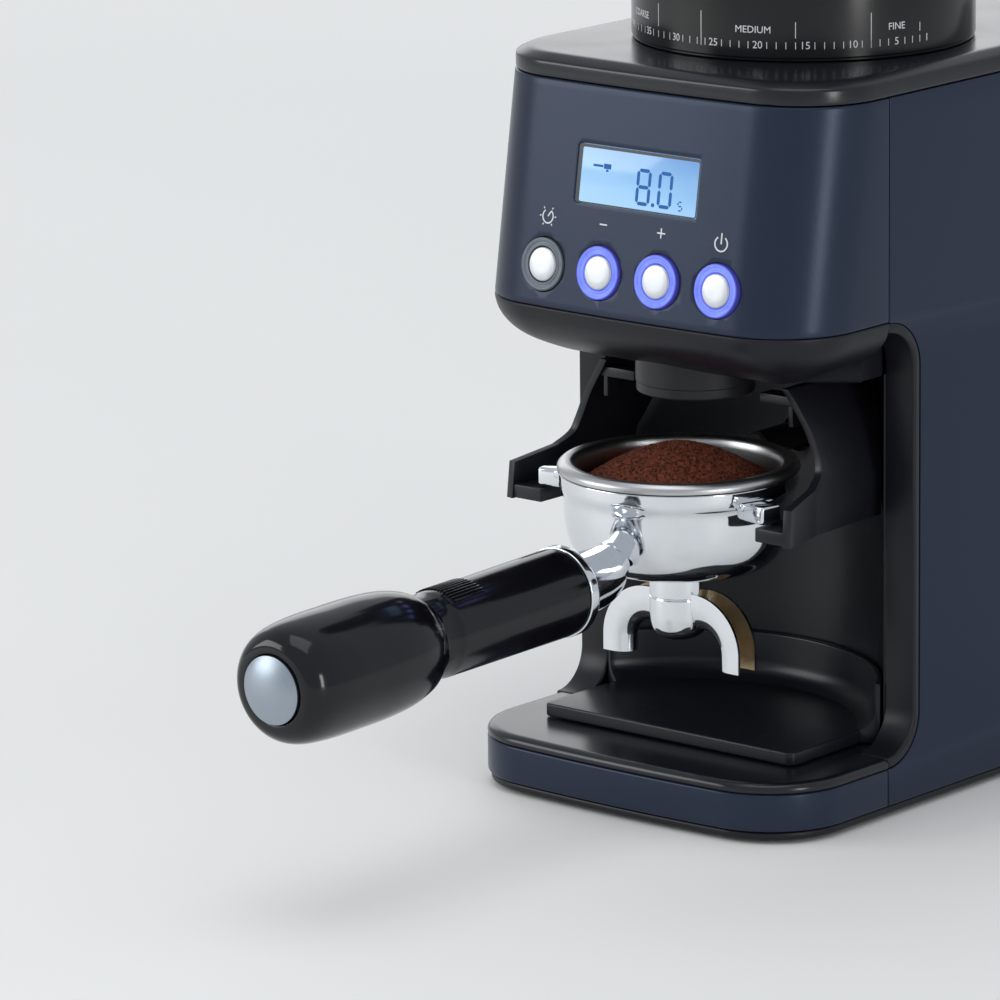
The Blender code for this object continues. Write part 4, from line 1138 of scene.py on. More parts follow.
def display_outlines():
    """The reading, a small s after it for seconds, its point, and the portafilter sign at the left."""
    left, bottom = DISPLAY.x - DISPLAY_SIZE[0] / 2, DISPLAY.y - DISPLAY_SIZE[1] / 2
    outlines = digit_bars("8", (left + 22.0, bottom + 1.6), DIGIT, STROKE)
    outlines += digit_bars("0", (left + 30.0, bottom + 1.6), DIGIT, STROKE)
    outlines += digit_bars("s", (left + 37.6, bottom + 1.5), (1.9, 2.9), 0.42)
    dot = Vector((left + 28.6, bottom + 2.2))
    outlines.append([dot + Vector(point) for point in arc((0, 0), 0.62, 0, 330, 11)])
    icon = Vector((left + 5.6, bottom + 10.6))
    shapes = ([(0, 0.35), (3.6, 0.35), (3.6, 1.05), (0, 1.05)], [(3.9, 0), (6.6, 0), (6.6, 1.5), (3.9, 1.5)],
              [(4.8, -0.8), (5.7, -0.8), (5.7, -0.15), (4.8, -0.15)])
    return outlines + [[icon + Vector(point) for point in shape] for shape in shapes]


def printed(name, outlines, low, high):
    """Flat outlines on the panel as one thin piece."""
    made = [prism(f"{name}_{i}", [tuple(point) for point in outline], low, high)
            for i, outline in enumerate(outlines)]
    return joined(name, *made)


def make_display():
    glass = prism("lcd_face", GLASS, FACE - 1.4, FACE)
    glass.data.transform(AT_DISPLAY)
    bevel(glass, 0.2, 2)
    settle(glass, "body", BACKLIGHT, "display_glass", "lcd_window")
    reading = printed("lcd_reading", display_outlines(), FACE, FACE + 0.05)
    reading.data.transform(PANEL)
    settle(reading, "body", LCD_INK, "display_glass", smooth=0)
    # A thin dark frame on the glass: a real border all round, widened at the left and top by painted shadow
    # of the window's edge
    frame_and_shadow = prism("lcd_frame_and_painted_shadow", GLASS, FACE + 0.02, FACE + 0.10)
    clear = rounded_rectangle(DISPLAY_SIZE[0] - 1.7, DISPLAY_SIZE[1] - 1.3, 0.6)
    # The opening is moved right and down, so the frame's extra width at the left and top is painted shadow
    punch(frame_and_shadow, prism("lcd_opening", [(x + 0.45, y - 0.25) for x, y in clear], FACE - 0.5, FACE + 0.5))
    frame_and_shadow.data.transform(AT_DISPLAY)
    settle(frame_and_shadow, "body", GLOSSY_SCALE, "display_glass", smooth=0)
    print("display:", len(reading.data.polygons), "faces of dark ink")


make_display()

# %% [markdown]
# ## Buttons and their marks
#
# Each button is a brushed metal cap in a ring of translucent plastic, lit violet blue from behind, apart
# from the first, which is off. The marks over them are printed: a dial for the setting, minus, plus, and
# the usual sign for power. They are flat shapes, less than a tenth of a millimetre high, as ink is.

# %% Rings and caps
def make_buttons():
    for number, spot in enumerate(BUTTONS, 1):
        bow = sink(spot.x)
        place = PANEL @ Matrix.Translation((spot.x, spot.y, bow))
        ring = rounded([
            (RING_RADIUS, -4.5), (RING_RADIUS, 0.9, 0.5), (7.0, 0.9, 0.2), (6.6, 0.45, 0.2), (6.1, 0.45, 0.2),
            (5.8, 0.75, 0.15), (CAP_RADIUS + 0.3, 0.75, 0.15), (CAP_RADIUS + 0.3, -4.5),
        ])
        look = DARK_RING if number == 1 else LIT_RING
        made = lathe(f"button_ring_{number}_plastic", ring, 72, place, ring=True)
        settle(made, "body", look, "light_ring", f"button_ring_{number}")
        tail = -6.9 - bow
        cap = rounded([(0, 1.15), (3.2, 1.1, 1.0), (CAP_RADIUS - 0.35, 0.85, 0.3), (CAP_RADIUS, 0.45, 0.3),
                       (CAP_RADIUS, tail), (0, tail)])
        made = lathe(f"button_cap_{number}_metal", cap, 64, place)
        settle(made, f"button_{number}", CAP_METAL, "button_cap_metal", f"button_cap_{number}")


make_buttons()


# %% Printed marks
def ring_line(centre, radius, start, end, width, steps=40):
    """The outline of a thin arc."""
    return [*arc(centre, radius + width / 2, start, end, steps),
            *arc(centre, radius - width / 2, end, start, steps)]


def stroke_line(start, end, width):
    a, b = Vector(start), Vector(end)
    across = Vector((a.y - b.y, b.x - a.x)).normalized() * width / 2
    return [a - across, b - across, b + across, a + across]


MARK_RISE = 14.0  # from a button's middle to its mark
MARK_WIDTH = 0.42
MARK_HEIGHT = 0.08
OPEN_RING = (-235, 55)  # where an open ring starts and ends, in degrees


def make_marks():
    dial, minus, plus, power = [Vector((spot.x, spot.y + MARK_RISE)) for spot in BUTTONS]
    marks = [ring_line(dial, 2.0, *OPEN_RING, MARK_WIDTH)]
    strokes = [(dial, (0, 0), (1.1, 1.5)), (minus, (-1.35, 0), (1.35, 0)), (plus, (-1.45, 0), (1.45, 0)),
               (plus, (0, -1.45), (0, 1.45)), (power, (0, -0.6), (0, 2.6))]
    for spot, start, end in strokes:
        marks.append(stroke_line(spot + Vector(start), spot + Vector(end), MARK_WIDTH))
    for angle in (-235, -180, -125, -55, 0, 55):
        direction = Vector((math.cos(math.radians(angle)), math.sin(math.radians(angle))))
        marks.append(stroke_line(dial + direction * 2.6, dial + direction * 3.2, MARK_WIDTH * 0.8))
    marks.append(ring_line((power.x, power.y - 0.5), 2.15, *OPEN_RING, MARK_WIDTH))
    ink_marks = printed("panel_marks", marks, 0.0, MARK_HEIGHT)
    for vertex in ink_marks.data.vertices:
        vertex.co.z += sink(vertex.co.x)
    ink_marks.data.transform(PANEL)
    settle(ink_marks, "body", WHITE_INK, "painted_steel", smooth=0)


make_marks()
print("buttons and marks are on the panel")


# %% [markdown]
# ## Scale ring
#
# The collar under the hopper sets the grind. Forty settings run round it: a number at the first and at each
# fifth, and ticks for those between. Ticks at an even pitch are a job for Geometry Nodes, so they use the
# same rule of blocks round an axis as the grip ribs further on.

# %% Ticks and numbers
COLLAR_LOW, COLLAR_HIGH = span("adjust_collar")
COLLAR_RADIUS = COLLAR_HIGH.x
SETTING = 3.15  # degrees from one setting to the next
FIFTEEN_AT = -51.5  # where setting 15 stands, in degrees from +X
NUMBER_Z = COLLAR_LOW.z + 4.6


def setting_angle(number):
    return FIFTEEN_AT + (15 - number) * SETTING


def ticks(name, count, group, first, low, height, width=0.22):
    """Ticks upwards from a setting, with one place left out after each group for the number there."""
    size = (0.10, width, height)
    return blocks_on_circle(name, WHITE_INK, size, COLLAR_RADIUS, low + height / 2, count, -SETTING,
                            setting_angle(first), group)


def lettering(text, size):
    """Words or figures as a flat mesh, centred on the origin."""
    curve = bpy.data.curves.new("lettering", "FONT")
    curve.body = text
    curve.size = size
    curve.align_x = "CENTER"
    curve.align_y = "CENTER"
    curve.extrude = 0.05
    curve.resolution_u = 3
    obj = new_object("lettering", curve)
    mesh = baked(obj)
    bpy.data.objects.remove(obj, do_unlink=True)
    return mesh


def wrapped(text, size, number, z, name):
    """Lettering bent round the collar at a setting."""
    mesh = lettering(text, size)
    middle = math.radians(setting_angle(number))
    for vertex in mesh.vertices:
        angle = middle + vertex.co.x / COLLAR_RADIUS
        radius = COLLAR_RADIUS + vertex.co.z
        vertex.co = (radius * math.cos(angle), radius * math.sin(angle), z + vertex.co.y)
    return new_object(name, mesh)


# The lines that part the zones, each as its setting, lowest and highest point
ZONE_LINES = ((26.5, 3.4, 13.5), (16, 6.8, 11.5), (8, 3.4, 13.5), (33, 6.8, 13.5), (2.0, 6.8, 9.4))


def make_scale():
    """Numbers, the ticks between them, the zones' lines and their words."""
    parts = [ticks("setting_ticks", 28, 4, 6, NUMBER_Z - 1.0, 2.0)]
    parts.append(ticks("last_ticks", 3, 4, 2, NUMBER_Z - 1.0, 2.0))
    for number in (40, 35, 30, 25, 20, 15, 10, 5, 1):
        parts.append(wrapped(str(number), 3.1, number, NUMBER_Z, f"setting_{number}"))
    for number, low, high in ZONE_LINES:
        parts.append(ticks("zone_line", 1, 1, number, COLLAR_LOW.z + low, high - low))
    for text, number in (("FINE", 5), ("MEDIUM", 20.5), ("COARSE", 37)):
        parts.append(wrapped(text, 2.9, number, COLLAR_LOW.z + 9.0, f"zone_{text.lower()}"))
    scale = joined("collar_scale", *parts)
    settle(scale, "collar", WHITE_INK, "black_plastic", smooth=0)
    print("scale:", len(parts), "groups of marks")


make_scale()

# %% [markdown]
# ## Collar, hopper and its lid
#
# These are turned shapes, so each is a half section on the lathe. The hopper is a clear cup whose floor
# funnels down to the burrs, and the lid has a shallow dish and a knob with grip ribs.

# %% Make the collar and hopper
def make_collar():
    wall = 4.4
    inner = COLLAR_RADIUS - wall
    foot = COLLAR_RADIUS - 0.35
    low, high = COLLAR_LOW.z, COLLAR_HIGH.z
    section = rounded([
        (COLLAR_RADIUS, high, 0.9), (COLLAR_RADIUS, low + 0.9, 0.3), (foot, low + 0.7, 0.1), (foot, low, 0.2),
        (inner, low, 0.5), (inner, high, 0.6),
    ], closed=True)
    collar = lathe("collar_ring", section, 160, ring=True)
    settle(collar, "collar", GLOSSY_SCALE, "black_plastic", "adjust_collar")


def make_hopper():
    low, high = span("bean_hopper")
    radius = high.x
    wall = 2.2
    neck = 18.0
    base = low.z + 23.0
    inner = radius - wall
    section = rounded([
        (radius, high.z, 0.5), (radius, base + 3.0, 1.2), (radius - 0.8, base, 0.6),
        (radius - 4.5, base, 0.8), (neck + wall, base - 16.0, 2.0), (neck + wall, low.z, 0.4),
        (neck, low.z, 0.4), (neck, base - 15.0, 2.0), (inner - 1.2, base + 3.0, 1.2),
        (inner, base + 6.0, 1.5), (inner, high.z, 0.5),
    ], closed=True)
    hopper = lathe("hopper_cup", section, 128, ring=True)
    settle(hopper, "hopper", SMOKED, "smoked_hopper", "bean_hopper")


def make_hopper_lid():
    radius, _, top = span("hopper_lid")[1]
    base = top - 12.0
    plug = radius - 2.8
    section = rounded([
        (0, top), (9.6, top, 1.4), (12.0, top - 1.6, 0.8), (13.0, base + 4.4, 1.6), (18.0, base + 3.2, 2.0),
        (radius - 6.0, base + 2.7, 1.0), (radius - 2.2, base + 3.2, 0.8), (radius, base + 2.4, 0.8),
        (radius, base, 0.4), (plug, base, 0.2), (plug, base - 5.0, 0.5), (plug - 2.0, base - 5.0, 0.5),
        (plug - 2.0, base, 0.3), (0, base),
    ])
    lid = lathe("hopper_lid_cap", section, 128)
    ribs, rib = 24, (1.1, 1.2, 5.4)
    grip = blocks_on_circle("hopper_lid_grip", SATIN, rib, 12.35, base + 5.0 + rib[2] / 2, ribs, 360 / ribs)
    bevel(grip, 0.3, 2)
    whole = joined("hopper_lid_whole", lid, grip)
    settle(whole, "hopper_cover", SATIN, "black_plastic", "hopper_lid")


make_collar()
make_hopper()
make_hopper_lid()
print("collar, hopper and lid turned")


# %% [markdown]
# ## Spout, cradle and tray
#
# Ground coffee falls from a short black spout into the basket below. The cradle slides onto the recess
# wall: two arms curve forward, and a ledge at the foot of each holds the portafilter by its lugs. The tray
# catches crumbs, and its floor runs up into its back wall in a wide fillet, so it wipes clean.

# %% Make the spout
def make_spout():
    low, high = span("chute_spout")
    radius = high.x
    bore, foot = radius - 2.5, radius - 0.25
    place = Matrix.Translation((0, middle_of("chute_spout")[1], 0))
    section = rounded([
        (radius, high.z), (radius, low.z + 3.2, 0.2), (foot, low.z + 3.0, 0.1), (foot, low.z, 0.8),
        (bore, low.z, 0.6), (bore, high.z),
    ])
    spout = lathe("spout_ring", section, 96, place, ring=True)
    settle(spout, "body", SPOUT_GREY, "dark_grey_plastic", "chute_spout")
    low, high = span("grind_chute")
    radius = high.x
    bore = radius - 2
    place = Matrix.Translation((0, middle_of("grind_chute")[1], 0))
    section = [(radius, high.z), (radius, low.z), (bore, low.z), (bore, high.z)]
    chute = lathe("chute_tube", section, 64, place, ring=True)
    punch(chute, block("chute_window", (18, 20, 13), (0, -36, 171.5)))
    settle(chute, "body", INNER_GREY, "dark_grey_plastic", "grind_chute")


make_spout()

# %% Make the cradle
CRADLE_ROWS = [  # height, tip x, tip y, knee x, knee y
    (86.2, 53.0, -74.6, 49.0, -56.0), (97.0, 52.8, -73.5, 49.0, -56.0), (99.8, 49.4, -58.0, 48.7, -54.5),
    (103.0, 47.5, -52.7, 47.5, -49.7), (107.0, 46.1, -51.3, 46.1, -48.3), (111.0, 44.4, -51.2, 44.4, -48.2),
    (115.0, 42.6, -51.3, 42.6, -48.3), (119.0, 40.2, -51.6, 40.2, -48.6), (123.0, 37.6, -51.9, 37.6, -48.9),
    (126.5, 35.2, -52.6, 35.2, -49.6),
]
CRADLE_WALL = 2.5


def cradle_line(tip_x, tip_y, knee_x, knee_y):
    """Seen from above: from the right arm's tip to its knee, round the recess, and out to the left tip."""
    tip, knee = Vector((tip_x, tip_y)), Vector((knee_x, knee_y))
    right = [tuple(tip.lerp(knee, step / 6)) for step in range(7)]
    back = recess_arc(RECESS - 1.0, knee_x, 40)
    return [*right, *back[1:-1], *((-x, y) for x, y in reversed(right))]


def make_cradle():
    rows = []
    for z, *ends in [*CRADLE_ROWS[:2], *smooth_rows(CRADLE_ROWS[2:], 4)]:
        outer = cradle_line(*ends)
        rows.append(level([*outer, *reversed(offset_path(outer, CRADLE_WALL))], z))
    cradle = loft("cradle_arms", rows)
    passage = block("spout_passage", (50, 60, 20), (0, 4, 130))
    hole = level_hole("cradle_hole", 5.5, 0, 0, middle_of("start_plunger")[2], 40)
    punch(cradle, passage, hole)
    bevel(cradle, 0.35, 2, 50)
    parts = [cradle]
    for side in (-1, 1):
        outline = [(40.0, -74.4), (51.8, -74.4), (49.6, -62.0), (47.8, -56.0), (47.8, -29.0), (40.0, -29.0)]
        outline = [(side * x, y) for x, y in outline]
        ledge = prism(f"ledge_{side}", outline if side > 0 else outline[::-1], 86.3, 90.5)
        parts.append(bevel(ledge, 0.5, 3))
        parts.append(bevel(block(f"tab_{side}", (13, 6, 3), (side * 30, -48, 122.5)), 0.4, 2))
        parts.append(bevel(block(f"bracket_{side}", (1.6, 5, 9), (side * 34.6, -48.2, 119.5)), 0.3, 2))
    whole = joined("cradle_moulding", *parts)
    settle(whole, "cradle", CRADLE_GREY, "black_plastic", "cradle")


make_cradle()


# %% Make the tray
def make_tray():
    low, high = span("crumb_tray")
    step_top = low.z - GAP + 4.3
    outer = RECESS - 0.6
    wall = 1.8
    fillet = 5.6
    side = 47.0
    corner = 2.5
    right = arc((side - corner, low.y + corner), corner, -90, 0, 8)
    outline = [*((-x, y) for x, y in reversed(right)), *right, *recess_arc(outer - wall / 2, side - 0.5)]
    slab = bevel(prism("tray_slab", outline, low.z, step_top), 0.6, 3, 40)
    half = LIP_INNER - 2 * GAP
    inner = outer - wall
    bend = arc((inner - fillet, step_top + fillet), fillet, -90, 0, 10)
    lip = rounded([(outer, low.z), (outer, high.z, 0.7), (inner, high.z, 0.7), (inner, step_top + fillet)])
    section = [*lip[:-1], *reversed(bend), (inner - fillet, low.z)]
    start = math.degrees(math.acos(half / outer))
    rows = []
    for x, y in arc((0, 0), 1, start, 180 - start, 60):
        rows.append([(r * x, FILTER_Y + r * y, z) for r, z in section])
    wall_part = bevel(loft("tray_back", rows), 0.4, 2, 60)
    whole = joined("tray_moulding", slab, wall_part)
    settle(whole, "tray", TRAY_BLACK, "black_plastic", "crumb_tray")


make_tray()
print("spout, cradle and tray are in place")


# %% [markdown]
# ## Portafilter
#
# The bowl is cast and plated, with a lug on each side that hangs on the cradle's ledges. A neck leads down
# to the handle's ferrule. Below the bowl a collar carries two half-open channels, which send the drink
# into two cups. The basket's rolled rim is the brightest ring in the whole machine.

# %% Bowl, lugs and neck
AT_FILTER = Matrix.Translation((0, FILTER_Y, 0))
RIM_RADIUS = span("pf_basket")[1].x
RIM_TOP = span("pf_basket")[1].z
BOWL_BOTTOM = 70.0
BASKET_RADIUS = 30.8
SLOPE = 1.6  # degrees that the handle sinks towards its knob
FERRULE = span("pf_ferrule")
HANDLE_START = FERRULE[0].y + (FERRULE[1].z - FERRULE[0].z) / 2 * math.sin(math.radians(SLOPE))
HANDLE_Z = (FERRULE[0].z + FERRULE[1].z) / 2
HANDLE_LENGTH = 122.25
ALONG = Matrix.Translation((0, HANDLE_START, HANDLE_Z)) @ Matrix.Rotation(math.radians(90 + SLOPE), 4, "X")


def make_bowl():
    rim_low = RIM_TOP - 3.0
    bore = BASKET_RADIUS + 0.6
    rim = RIM_RADIUS - GAP
    seat = rim_low - GAP
    section = rounded([
        (rim, seat, 0.4), (rim, rim_low - 4.5, 1.6), (33.8, rim_low - 6.6, 1.6), (33.6, 85.0, 5.0),
        (32.2, 78.0, 4.0), (28.0, 72.4, 3.5), (21.0, 70.2, 3.0), (15.0, BOWL_BOTTOM, 1.0),
        (4.5, BOWL_BOTTOM, 0.3), (4.5, 74.0, 0.3), (22.0, 74.8, 2.0), (29.0, 77.0, 2.0), (bore, 79.5, 1.0),
        (bore, seat, 0.3),
    ], closed=True)
    parts = [lathe("bowl", section, 144, AT_FILTER, ring=True)]
    for angle in (-14, 194):
        turn = Matrix.Rotation(math.radians(angle), 4, "Z")
        lug = AT_FILTER @ turn @ Vector((38.3, 0, 93.8))
        ramp = AT_FILTER @ turn @ Vector((36.0, 0, 95.6))
        parts.append(bevel(block(f"lug_{angle}", (12.0, 7.4, 5.6), lug, angle), 1.1, 4))
        parts.append(bevel(block(f"lug_ramp_{angle}", (4.0, 12.0, 2.6), ramp, angle), 0.9))
    stations = smooth_rows([
        (-91.2, 77.6, 7.4, 5.0), (-92.6, 76.4, 7.9, 6.6), (-94.4, 75.2, 8.4, 8.0), (-98.4, 74.2, 8.9, 8.8),
        (-104.0, 73.8, 9.4, 9.3), (HANDLE_START + 4.8, HANDLE_Z + 0.1, 10.0, 10.0),
    ], 6)
    rows = []
    for y, z, across, up in stations:
        rows.append([(across * a, y, z + up * b) for a, b in arc((0, 0), 1, 0, 352.5, 47)])
    parts.append(loft("neck", rows))
    whole = joined("portafilter_bowl", *parts)
    settle(whole, "portafilter", CHROME, "chrome", "pf_body", smooth=40)


make_bowl()


# %% Basket
def make_basket():
    low = RIM_TOP - 23.0
    inner = BASKET_RADIUS - 0.8
    section = rounded([
        (0, low + 0.8), (inner - 3.0, low + 0.8, 2.0), (inner - 0.4, low + 3.6, 1.5),
        (inner, RIM_TOP - 2.2, 1.4), (inner + 0.9, RIM_TOP - 0.3, 1.0), (RIM_RADIUS - 1.6, RIM_TOP, 0.8),
        (RIM_RADIUS, RIM_TOP - 1.4, 0.9), (RIM_RADIUS, RIM_TOP - 3.0, 0.3),
        (BASKET_RADIUS, RIM_TOP - 3.0, 0.4), (BASKET_RADIUS - 1.0, low, 2.0), (0, low),
    ])
    settle(lathe("basket_cup", section, 144, AT_FILTER), "portafilter", BRUSHED, "brushed_steel", "pf_basket")


make_basket()

# %% [markdown]
# ## Ground coffee
#
# A heap of coffee is two things: a smooth mound, and the loose grains on it. The mound is turned on the
# lathe, roughened by a noise. Geometry Nodes then scatter small crumbs over it, each with its own size and
# turn, from one fixed seed, so that the heap is the same each time.

# %% Mound and crumbs
PEAK = span("pf_grounds")[1].z


def mound_height(radius, reach):
    """The heap's height at a distance from the axis: a rounded cone that runs out flat."""
    share = min(radius / reach, 1.0)
    return (PEAK - 0.9) - 11.4 * share ** 1.6


def make_grounds():
    low = span("pf_grounds")[0].z
    reach = span("pf_grounds")[1].x
    profile = [(reach * i / 26, mound_height(reach * i / 26, reach)) for i in range(27)]
    profile += [(reach - 0.4, profile[-1][1] - 1.0), (reach - 1.5, low), (0, low)]
    mound = lathe("coffee_mound", profile, 96, AT_FILTER)
    texture = bpy.data.textures.new("lumps", "CLOUDS")
    texture.noise_scale = 1.6
    lumps = mound.modifiers.new("lumps", "DISPLACE")
    lumps.texture = texture
    lumps.strength = 0.7
    lumps.mid_level = 0.75
    apply_all(mound)
    rule = Rule("coffee_crumbs", density=3.6, size=0.40, seed=7)
    seed = rule.value("seed")
    up = rule.node("ShaderNodeSeparateXYZ", {}, {0: rule.node("GeometryNodeInputNormal")}, output=2)
    greater = {"data_type": "FLOAT", "operation": "GREATER_THAN"}
    top = rule.node("FunctionNodeCompare", greater, {0: up, 1: 0.3})
    spread = rule.node("GeometryNodeDistributePointsOnFaces", {}, {
        "Mesh": rule.value("Geometry"), "Selection": top, "Density": rule.value("density"), "Seed": seed})
    crumb = rule.node("GeometryNodeMeshIcoSphere", {}, {"Radius": rule.value("size"), "Subdivisions": 1})
    vectors = {"data_type": "FLOAT_VECTOR"}
    turn = rule.node("FunctionNodeRandomValue", vectors, {0: (0.0,) * 3, 1: (6.28,) * 3, "Seed": seed})
    size = rule.node("FunctionNodeRandomValue", vectors, {
        0: (0.45, 0.35, 0.35), 1: (1.35, 1.15, 1.0), "Seed": seed})
    crumbs = rule.instances(spread, crumb, turn, size)
    loose = rule.run("coffee_crumbs", crumbs, COFFEE, mound.data.copy())
    count = len(loose.data.polygons) // 20
    whole = joined("coffee_heap", mound, loose)
    settle(whole, "portafilter", COFFEE, "ground_coffee", "pf_grounds", smooth=0)
    print("coffee:", count, "crumbs")


make_grounds()

# %% [markdown]
# ## Spouts and handle
#
# Each spout is a channel with a U section, swept along a bend with its open side outwards, so that its
# stained inside shows. The handle is turned in one piece with a waist and a knob. Its ribs, near the
# waist, follow a rule, and so Geometry Nodes lay them on.

# %% Twin spouts
def make_spouts():
    low, high = span("pf_spout")
    top = BOWL_BOTTOM - 0.3
    section = rounded([(0, top), (8.8, top, 0.3), (8.8, 62.1, 0.2), (8.5, 61.95, 0.1), (8.5, 61.65, 0.1),
                       (8.8, 61.5, 0.2), (8.8, 54.0, 2.5), (7.6, 50.6, 2.5), (4.0, 48.7, 2.0), (0, 48.5)])
    parts = [lathe("spout_collar", section, 96, AT_FILTER)]
    half, wall, depth = 4.3, 0.95, 3.4
    outer = [(half, depth), *arc((0, 0), half, 0, -180, 18), (-half, depth)]
    inner = [(-half + wall, depth), *arc((0, 0), half - wall, 180, 360, 18), (half - wall, depth)]
    channel = [*outer, *inner]
    reach = high.x + 0.4 - depth
    bend, bend_z = 13.2, 47.0
    for side in (-1, 1):
        frames = []
        for x, z in reversed(arc((0, 0), 1, 0, 100, 24)):
            spot = Vector((side * (reach - bend + x * bend), FILTER_Y, bend_z + z * bend))
            frames.append((spot, Vector((0, 1, 0)), Vector((side * x, 0, z))))
        foot = frames[-1][0].copy()
        foot.z = low.z
        frames.append((foot, *frames[-1][1:]))
        arm = sweep(f"spout_arm_{side}", channel, frames, (1.9, 1.2))
        count = len(channel)
        first_inner = len(outer)
        for polygon in arm.data.polygons:
            inside = [v % count for v in polygon.vertices if v % count >= first_inner]
            if len(inside) == len(polygon.vertices):
                polygon.material_index = 1
        parts.append(arm)
    whole = joined("twin_spout", *parts)
    settle(whole, "portafilter", [CHROME, STAINED], "chrome", "pf_spout", smooth=40)


make_spouts()


# %% Ferrule, handle and end cap
def make_handle():
    ferrule = rounded([(0, 0), (13.4, 0, 0.5), (13.4, -3.4, 0.6), (11.6, -4.5, 0.8), (0, -4.5)])
    settle(lathe("ferrule_ring", ferrule, 96, ALONG), "portafilter", CHROME, "chrome", "pf_ferrule")
    end = HANDLE_LENGTH
    radius = 13.0
    grip = rounded([
        (0, end - 2.2), (9.7, end - 2.2, 0.2), (10.0, end - 0.2, 1.0), (13.8, end - 0.7, 3.0),
        (16.9, end - 5.2, 5.0), (18.0, end - 15.0, 7.0), (18.0, end - 38.0, 6.0), (17.2, end - 49.0, 5.0),
        (15.2, end - 56.6, 3.0), (12.3, end - 59.6, 1.6), (12.3, end - 65.0, 1.6),
        (radius - 0.3, end - 67.6, 1.0), (radius, 8.0, 4.0), (radius, GAP, 0.4), (0, GAP),
    ], 8)
    handle = lathe("grip", grip, 128, ALONG)
    rib = (0.7, 0.5, 13.0)
    ribs = blocks_on_circle("grip_ribs", GLOSS, rib, radius - 0.1, end - 76.0, 14, 5.2, 56.0)
    ribs.data.transform(ALONG)
    bevel(ribs, 0.2, 2)
    whole = joined("handle_grip", handle, ribs)
    settle(whole, "portafilter", GLOSS, "gloss_handle", "pf_handle")
    place = ALONG @ Matrix.Translation((0, 0, end))
    dome_radius, dome_top, dome_fall, dome_angle = 9.8, 3.0, 2.7, 48
    across = dome_radius / math.sin(math.radians(dome_angle))
    down = dome_fall / (1 - math.cos(math.radians(dome_angle)))
    cap = [(across * x, dome_top - down * (1 - z)) for z, x in arc((0, 0), 1, 0, dome_angle, 12)]
    cap += [(9.4, -1.6), (0, -1.6)]
    settle(lathe("end_cap_dome", cap, 96, place), "portafilter", SATIN_STEEL, "chrome", "pf_end_cap")


make_handle()
print("portafilter is whole")

# %% [markdown]
# ## Finishes of the inner parts
#
# The motor, gears, burrs and boards keep the shapes of their solids. Each gets the finish of its metal or
# plastic, which shows when the hopper is off or the model is opened.

# %% Finish what the frame still shows
INNER_LOOKS = {
    "lcd_module": MODULE, "control_board": BOARD, "grind_chamber": INNER_GREY, "gearbox_plate": MACHINED,
    "shaft_bearing": MACHINED, "motor_can": MOTOR, "power_board": BOARD, "cable_gland": RUBBER,
    "start_switch": INNER_GREY, "burr_shaft": MACHINED, "drive_gear": BRASS, "inner_burr": MACHINED,
    "sweeper": MACHINED, "motor_pinion": MACHINED, "motor_shaft": MACHINED, "burr_carrier": INNER_GREY,
    "outer_burr": MACHINED, "finger_guard": SATIN, "start_plunger": SPOUT_GREY,
}
for name, look in INNER_LOOKS.items():
    mesh = frame["nodes"][name].data
    mesh.materials.clear()
    mesh.materials.append(look)
print(len(INNER_LOOKS), "inner parts finished")

# %% [markdown]
# ## Floor, light and camera
#
# A plain pale floor and a white room of even light suit a product of black and chrome: the dark paint shows
# what it reflects, and the mirror of the bowl needs something white to look at. One tall soft light draws
# the bright line down the front corner, and one from the left lifts the panel. A wide one stands behind the
# machine, and one hangs over it.

# %% Floor and light
def plain_floor():
    r = Recipe("pale_floor")
    mottle = r.noise(3, 2)
    return r.surface(Base_Color=r.blend(mottle, (0.90, 0.89, 0.87), (0.93, 0.92, 0.90)), Roughness=0.7)


FLOOR = new_object("floor", bpy.data.meshes.new("floor"))
FLOOR.data.from_pydata([(-9, -9, 0), (9, -9, 0), (9, 9, 0), (-9, 9, 0)], [], [(0, 1, 2, 3)])
FLOOR.data.materials.append(plain_floor())

WORLD = bpy.data.worlds.new("white_room")
bpy.context.scene.world = WORLD
WORLD.use_nodes = True
ROOM = WORLD.node_tree.nodes["Background"].inputs
ROOM["Color"].default_value = (0.90, 0.95, 1.0, 1)
ROOM["Strength"].default_value = 0.60


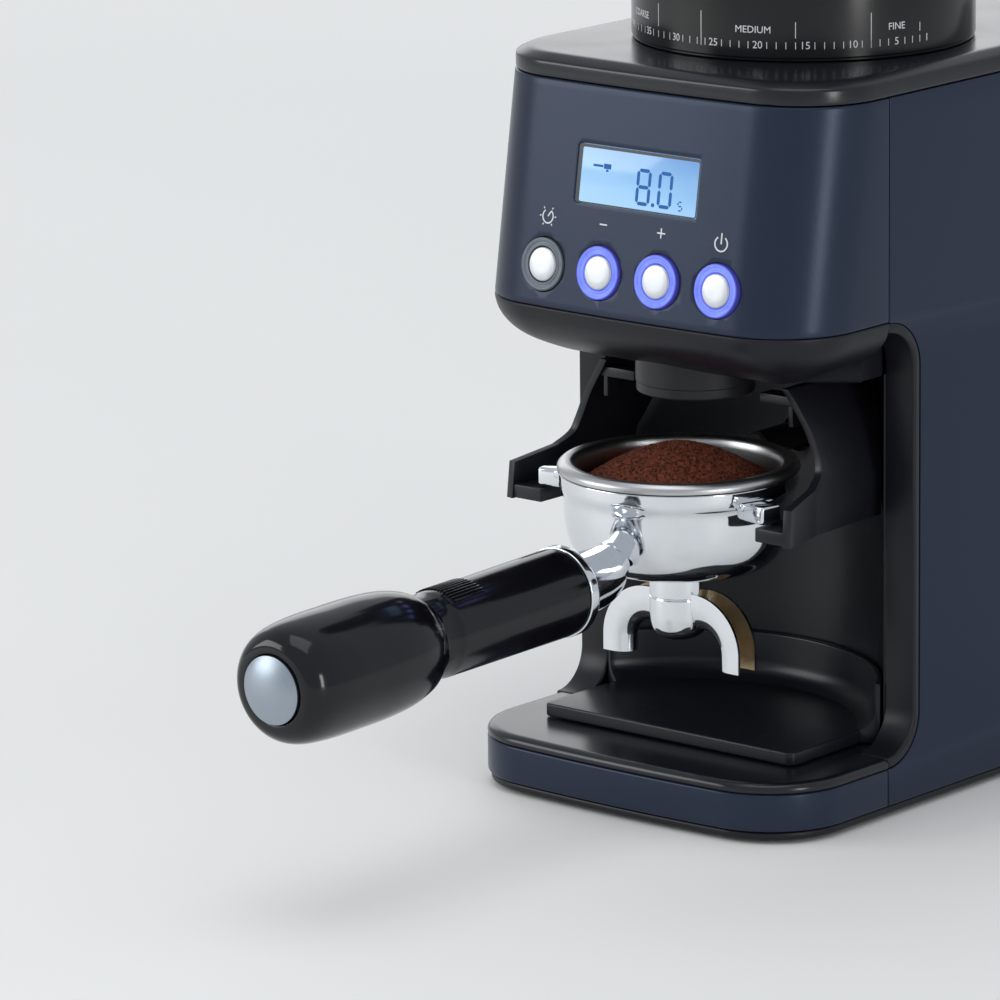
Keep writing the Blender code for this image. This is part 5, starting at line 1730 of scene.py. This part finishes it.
def soft_light(name, azimuth, elevation, distance, size, power, aim=(0, 0, 0.12)):
    """An area light that looks at the machine. Azimuth 0 is in front, 90 to its right."""
    a, e = math.radians(azimuth), math.radians(elevation)
    direction = Vector((math.sin(a) * math.cos(e), -math.cos(a) * math.cos(e), math.sin(e)))
    data = bpy.data.lights.new(name, "AREA")
    data.shape = "RECTANGLE"
    data.size, data.size_y = size
    data.energy = power
    lamp = new_object(name, data)
    lamp.location = Vector(aim) + direction * distance
    lamp.rotation_euler = direction.to_track_quat("Z", "Y").to_euler()


LIGHTS = {  # azimuth, elevation, distance, size, watts
    "corner_strip": (77, 8, 1.6, (0.28, 0.6), 4.5),
    "left_box": (-44, 18, 1.8, (1.0, 0.9), 11),
    "rear_wall": (220, 14, 2.6, (2.6, 1.0), 8.5),
    "top_box": (20, 80, 1.8, (1.2, 1.2), 6),
}
for name, light in LIGHTS.items():
    soft_light(name, *light)
print(len(LIGHTS), "lights")

# %% Camera
YAW, PITCH, ROLL = 0.7058, 0.2328, -0.011  # radians: to its left, down, and about its own axis
EYE = Vector((1.2642, BURR_Y - 1.6233, 0.5673))
SENSOR = 36  # millimetres
FOCAL = 7.07019 * SENSOR


def camera_matrix():
    forward = Vector((-math.sin(YAW) * math.cos(PITCH), math.cos(YAW) * math.cos(PITCH), -math.sin(PITCH)))
    level_right = Vector((math.cos(YAW), math.sin(YAW), 0))
    level_up = level_right.cross(forward)
    right = level_right * math.cos(ROLL) + level_up * math.sin(ROLL)
    up = level_up * math.cos(ROLL) - level_right * math.sin(ROLL)
    matrix = Matrix((right, up, -forward)).transposed().to_4x4()
    matrix.translation = EYE
    return matrix


CAMERA = new_object("camera", bpy.data.cameras.new("camera"))
CAMERA.data.lens = FOCAL
CAMERA.data.sensor_width = SENSOR
CAMERA.data.clip_end = 30
CAMERA.matrix_world = camera_matrix()
bpy.context.scene.camera = CAMERA
bpy.context.scene.view_settings.view_transform = "Standard"
print(f"camera lens {FOCAL:.0f} mm, {len(PIECES)} pieces dressed")
